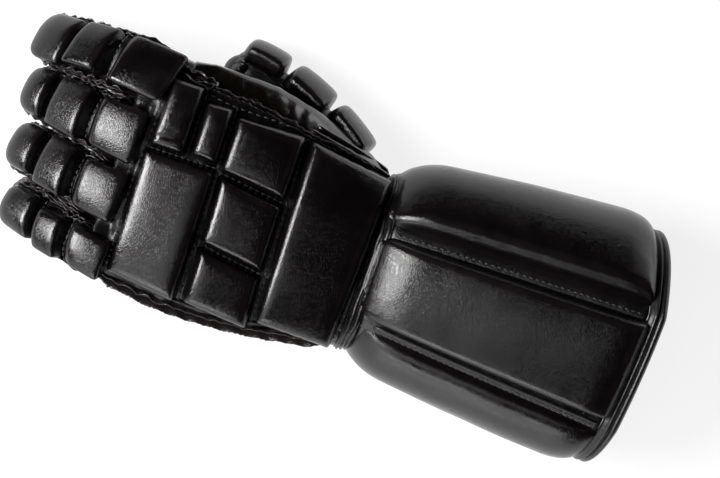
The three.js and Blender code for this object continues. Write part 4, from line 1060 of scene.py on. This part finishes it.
# Thumb-side seam. Gusset and back leather are joined raw edges out, in a low ruffle with a second edge
# beside it; near the wrist the strip folds twice, and at its finger end the edges curl up.


def along_hand(x_from, x_to, degrees, steps=90, lean=0.0, lift=0.0):
    """Path along the hand's section at an angle, which may change along it, with its outward
    direction turned up by the lean."""
    x = np.linspace(x_from, x_to, steps)
    degrees = degrees(x) if callable(degrees) else np.full(steps, float(degrees))
    out = hand_outward(x, degrees)
    point = hand_point(x, degrees) + out * lift
    out = out + np.array([0, 0, lean])
    return np.concatenate([point, out / np.linalg.norm(out, axis=1, keepdims=True)], axis=1)


def gusset_seam(x):
    """Angle of the seam above the gusset's upper edge."""
    return np.interp(x, gusset_rows[:, 0], gusset_rows[:, 1]) + 3.0


thumb_seam = raw_lip("thumb_side_seam_lip", along_hand(-92, 12, gusset_seam, lean=0.8), height=3.2,
                     thickness=1.0, ruffle=0.9, wave=6.0, seed=111)
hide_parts("thumb_side_seam")
raw_lip("thumb_side_seam_inner", along_hand(-88, -8, lambda x: gusset_seam(x) + 3.5, lean=0.8), height=2.0,
        thickness=0.7, ruffle=0.8, wave=4.0, seed=112)
upper_fold = [(-24.0, 43.4), (-7.6, 39.9), (8.2, 36.2), (18.4, 33.2)]
lower_fold = [(-27.0, 40.6), (-8.0, 37.0), (8.0, 33.6), (19.0, 30.8)]
cord("thumb_web_fold_upper", on_back(upper_fold, 0.9), 1.3, gusset_leather)
cord("thumb_web_fold_lower", on_back(lower_fold, 0.8), 1.2, gusset_leather)

seam_curl = [(-98.0, 47.6), (-92.0, 45.4), (-86.2, 43.6), (-81.2, 43.8), (-78.4, 46.2), (-79.2, 48.6)]
seam_twist = [(-99.0, 50.8), (-92.0, 49.0), (-86.0, 48.6), (-79.0, 48.2)]
raw_lip("thumb_side_seam_curl", on_back(seam_curl, 0.4), height=3.2, thickness=1.6, ruffle=0.7, wave=5.0,
        seed=171, material=gusset_leather, taper=3.0)
raw_lip("thumb_side_seam_twist", on_back(seam_twist, 0.0), height=3.0, thickness=1.3, ruffle=0.9, wave=5.0,
        seed=173, material=gusset_leather, taper=3.0)


# Little-finger edge of the hand. Back and palm are joined raw edges out, in a ruffle that stands out
# from the hand's side, with a second edge above it.
little_seam = raw_lip("little_side_seam_lip", along_hand(-108, 17, 168.0, 140, lean=0.25), height=4.0,
                      thickness=1.1, ruffle=0.8, wave=12.0, seed=121, taper=10.0, rough=0.08)
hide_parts("little_side_seam")
raw_lip("little_side_seam_inner", along_hand(-106, 15, 158.0, 140, lean=0.5), height=2.4, thickness=0.8,
        ruffle=0.9, wave=6.0, seed=122)
cord("little_side_edge", along_hand(-100, 18, 149.0, 120, lift=0.3), 0.9, body_leather)


# Cuff. A flared tube of leather with three long pads between sewn channels; the channel on the thumb
# side lies on the ridge of the forearm.
cuff_start, rim_low, rim_rise, rim_top, hem_width = 27.0, 157.5, 13.0, 84.0, 9.0

# corner: y and z at the wrist, y and z at the mouth
cuff_corners = {
    "ridge": (5.5, 54.0, 7.0, 75.0),
    "thumb_side": (33.0, 33.0, 44.5, 43.0),
    "thumb_foot": (25.0, 0.0, 33.0, 0.0),
    "little_foot": (-48.0, 0.0, -57.0, 0.0),
    "little_side": (-57.0, 24.0, -71.5, 34.0),
    "edge": (-41.0, 46.0, -53.0, 61.0),
}
# panel: from corner, to corner, corner that it bows round, bulge, steps round the tube
cuff_panels = {
    "back": ("edge", "ridge", None, 2.0, 20),
    "thumb": ("ridge", "thumb_foot", "thumb_side", 0.0, 32),
    "floor": ("thumb_foot", "little_foot", None, 0.0, 16),
    "little": ("little_foot", "edge", "little_side", 0.0, 28),
}


def cuff_corner(name, share):
    """Section corner at a share of the cuff's length, opening as share^0.82."""
    y, z, mouth_y, mouth_z = cuff_corners[name]
    opened = np.maximum(share, 0) ** 0.82
    return np.stack([y + (mouth_y - y) * opened, z + (mouth_z - z) * opened], axis=-1)


def panel_point(panel, share, v):
    """(y, z) of a cuff panel, v from its first corner to its last: a quadratic curve round the
    corner it bows round, or a straight line with a parabolic bulge."""
    first, last, via, bulge, _ = cuff_panels[panel]
    start, end = cuff_corner(first, share), cuff_corner(last, share)
    v = np.asarray(v)[..., None]
    if via:
        handle = cuff_corner(via, share) * 2 - (start + end) / 2
        return (1 - v) ** 2 * start + 2 * v * (1 - v) * handle + v**2 * end
    out = np.stack([start[..., 1] - end[..., 1], end[..., 0] - start[..., 0]], axis=-1)
    out /= np.linalg.norm(out, axis=-1, keepdims=True)
    return start + (end - start) * v + out * bulge * 4 * v * (1 - v)


def rim_x(z):
    """The mouth's x at a height: further out towards the top as height^1.5."""
    return rim_low + rim_rise * (np.maximum(z, 0) / rim_top) ** 1.5


def cuff_x(share, z):
    """The cuff's x at a share of its length and a height: up to just before the hem."""
    return cuff_start + (rim_x(z) - hem_width - seam_gap - cuff_start) * share


def cuff_ring(share):
    """Closed chain of (y, z) points round the cuff at each share, kept above the floor."""
    parts = [panel_point(name, share + 0 * np.arange(row[4]), np.arange(row[4]) / row[4] + 0 * share)
             for name, row in cuff_panels.items()]
    ring = np.concatenate(parts, axis=-2)
    ring[..., 1] = np.maximum(ring[..., 1], 0)
    return ring


cuff_rings = 61
cuff_shares = np.linspace(0, 1, cuff_rings)[:, None]
tube_ring = cuff_ring(cuff_shares)
tube_points = np.concatenate([cuff_x(cuff_shares, tube_ring[..., 1])[..., None], tube_ring], axis=-1)
tube_middle = tube_points.mean(axis=1, keepdims=True)
cuff_faces = facing_out(tube_points, grid_faces(cuff_rings, tube_ring.shape[1], closed=True), tube_middle)
cuff_tube = put_mesh("cuff_leather", tube_points, cuff_faces, body_leather)
walled(cuff_tube, leather_wall)
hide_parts("cuff_tube")
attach(cuff_tube, "root")

# share of the cuff's length where its pads start and end
cuff_pad_start, cuff_pad_end = -0.03, 1.02
# name, panel, start and end across the panel, how much lower than the others, how much higher its last
# edge than its first
cuff_pads = [
    ("cuff_pad_back", "back", 0.06, 0.94, 0.0, 0.0),
    ("cuff_pad_thumb_side", "thumb", 0.04, 0.86, 0.0, 0.0),
    ("cuff_pad_little_side", "little", 0.16, 0.95, 2.6, -5.2),
]


def cuff_pad_place(panel, low, high):
    """Surface of the cuff under a pad: u from just before its start to just past its end, v across the
    panel, outward square to both."""
    def at(share, v):
        section = panel_point(panel, share, v)
        return np.concatenate([cuff_x(share, section[..., 1])[..., None], section], axis=-1)

    def place(u, v):
        share, across = cuff_pad_start + (cuff_pad_end - cuff_pad_start) * u, low + (high - low) * v
        point = at(share, across)
        along, over = at(share + 0.01, across) - point, at(share, across + 0.01) - point
        out = np.cross(along, over)
        return point, out / np.linalg.norm(out, axis=-1, keepdims=True)
    return place


cuff_length = rim_low - cuff_start
# height at the wrist; length over which it rises and the power; depth and length of its end's fall
wrist_rise, rise_length, rise_power, fall_depth, fall_length = 1.0, 27.0, 2.3, 3.5, 16.0


def cuff_pad_rise(u):
    """Height of a cuff pad along its length: low at the wrist, rising as 1 less a power of what is
    left, and falling by a square over its end."""
    bulge = 1 - (1 - np.clip(u * cuff_length / rise_length, 0, 1)) ** rise_power
    sunk = np.clip(1 - (1 - u) * cuff_length / fall_length, 0, 1) ** 2
    return wrist_rise + (hand_pad_height - wrist_rise) * bulge - fall_depth * sunk


for number, (name, panel, low, high, lower, tilt_v) in enumerate(cuff_pads):
    place = cuff_pad_place(panel, low, high)
    middle = place(np.full(21, 0.5), np.linspace(0, 1, 21))[0]
    width = np.linalg.norm(np.diff(middle, axis=0), axis=1).sum()
    pad_piece(f"{name}_leather", place, cuff_length, width,
              height=lambda u, v, lower=lower: cuff_pad_rise(u) - lower, shoulder=hand_shoulder,
              corner=(7.0, 3.0), crown=1.2, tilt=(0.0, tilt_v), flat=0.0, step=2.4, seed=60 + number,
              node_name=name)


# Cuff channels. One row of stitches lies in the channel on the ridge, a thin piping with a row beside
# it along the lower edge of the back pad, and a second piping under the thumb-side pad.
cuff_middle = np.array([0.0, -12.0, 35.0])


def along_cuff(panel, v, share_from, share_to, lift):
    """Path along the cuff at a place across a panel, lifted off it, with its outward direction."""
    share = np.linspace(share_from, share_to, 80)
    place = cuff_pad_place(panel, v, v)
    point, out = place((share - cuff_pad_start) / (cuff_pad_end - cuff_pad_start), 0 * share)
    away = (point - cuff_middle) * np.array([0, 1, 1])
    out = out * np.sign(np.sum(out * away, axis=1, keepdims=True))
    return np.concatenate([point + out * lift, out], axis=1)


ridge_row, foot_row = along_cuff("back", 0.985, 0.02, 0.98, 1.0), along_cuff("little", 0.97, 0.05, 0.98, 0.9)
stitches("cuff_channel_stitches", [ridge_row, foot_row])
cord("cuff_edge_piping", along_cuff("back", 0.015, 0.06, 0.99, 2.0), 1.2, body_leather)
cord("cuff_thumb_piping", along_cuff("thumb", 0.9, 0.04, 0.99, 0.6), 0.9, body_leather)


# Wrist binding. A bunched strip of leather is folded round the wrist between hand and cuff, its folds
# closer together in some places than in others.
wrist_middle = np.array([-11.5, 25.0])
binding_turn = np.radians(np.arange(0, 360, 3.0))


def radius_at(chain):
    """Distance of a closed chain of (y, z) places from the wrist's middle in each direction."""
    away = chain - wrist_middle
    angle, radius = np.arctan2(away[:, 1], away[:, 0]), np.hypot(away[:, 0], away[:, 1])
    order = np.argsort(angle)
    return np.interp(binding_turn, angle[order], radius[order], period=2 * np.pi)


hand_chain = hand_point(np.full(180, hand_end), np.arange(0, 360, 2.0))[:, 1:]
cuff_chain = cuff_ring(np.array([0.0]))
# rings along the strip, how far its shares reach past hand and cuff, over what share its ends close
binding_rings, binding_over, binding_close, binding_wall = 53, 0.15, 0.12, 2.0
# how far it is sunk in at its ends, how far it stands out, and how much further its folds do
binding_sink, binding_out, fold_out = 1.2, 1.4, 1.8
binding_share = np.linspace(-binding_over, 1 + binding_over, binding_rings)[:, None]
binding_degrees = np.degrees(binding_turn)[None]
binding_mix = np.clip(binding_share, 0, 1)
binding_reach = radius_at(hand_chain)[None] * (1 - binding_mix) + radius_at(cuff_chain)[None] * binding_mix
bunch = 0.3 * soft_noise(0 * binding_share + binding_degrees * 0.9, 6 * binding_share, 34, 71)
fold_count = 3.0 - 1.1 * np.sin(binding_turn)[None]
binding_folds = np.abs(np.sin(np.pi * (fold_count * binding_share + bunch))) ** 0.6
small_folds = 0.22 * soft_noise(binding_degrees * 0.9 + 0 * binding_share, 9 * binding_share, 7, 72)
binding_ends = np.minimum(binding_share + binding_over, 1 + binding_over - binding_share)
binding_ends = np.clip(binding_ends / binding_close, 0, 1)
binding_lift = (binding_out + fold_out * binding_folds + small_folds) * binding_ends
binding_reach = binding_reach - binding_sink + binding_lift
binding_y = wrist_middle[0] + binding_reach * np.cos(binding_turn)[None]
binding_z = np.maximum(wrist_middle[1] + binding_reach * np.sin(binding_turn)[None], 0)
binding_x = hand_end + seam_gap + (cuff_start - hand_end - 2 * seam_gap) * binding_share + 0 * binding_y
binding_points = np.stack([binding_x, binding_y, binding_z], axis=-1)
binding_leather = leather("binding_leather", (0.0026, 0.0022, 0.0024),
                          roughness=0.3, grain=1.0, depth=0.25, gloss=0.0, crease=0.2)
wrist_line = np.broadcast_to(wrist_middle, (binding_rings, 1, 2))
binding_middle = np.concatenate([binding_x[:, :1, None], wrist_line], axis=-1)
binding_faces = grid_faces(binding_rings, len(binding_turn), closed=True)
binding_faces = facing_out(binding_points, binding_faces, binding_middle)
wrist_binding = put_mesh("wrist_binding_leather", binding_points, binding_faces, binding_leather)
walled(wrist_binding, binding_wall)
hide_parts("wrist_binding")
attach(wrist_binding, "root")


# Hem of the cuff's mouth. A thin piping cord sewn against the pads' ends, then a border rolled over
# the edge and sewn inside.

# distance in from the rim, distance out from the tube's face
hem_profile = np.array([
    (9.0, -2.2), (9.0, 0.4), (8.0, 1.4), (6.9, 2.0), (6.3, 3.0), (5.7, 3.4), (5.1, 3.1),
    (4.8, 2.2), (4.5, 1.7), (4.1, 1.9), (3.6, 2.9), (2.9, 3.4), (2.0, 3.4), (1.1, 2.7),
    (0.4, 1.6), (0.05, 0.4), (0.1, -0.9), (0.7, -2.1), (2.0, -2.7), (4.5, -2.7), (7.0, -2.5),
])
rim_ring = cuff_ring(np.array([1.0]))
rim_run = np.roll(rim_ring, -1, axis=0) - np.roll(rim_ring, 1, axis=0)
rim_out = np.stack([-rim_run[:, 1], rim_run[:, 0]], axis=-1)
rim_out /= np.linalg.norm(rim_out, axis=-1, keepdims=True)
hem_yz = rim_ring[:, None] + rim_out[:, None] * hem_profile[None, :, 1:2]
hem_yz[..., 1] = np.maximum(hem_yz[..., 1], 0)
hem_x = rim_x(rim_ring[:, 1])[:, None] - hem_profile[None, :, 0]
hem_points = np.concatenate([hem_x[..., None], hem_yz], axis=-1)
hem_faces = grid_faces(len(rim_ring) + 1, len(hem_profile), closed=True) % (len(rim_ring) * len(hem_profile))
cuff_hem = smoothed(put_mesh("cuff_hem_leather", hem_points, hem_faces[:, ::-1], binding_leather))
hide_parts("cuff_hem")
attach(cuff_hem, "root")
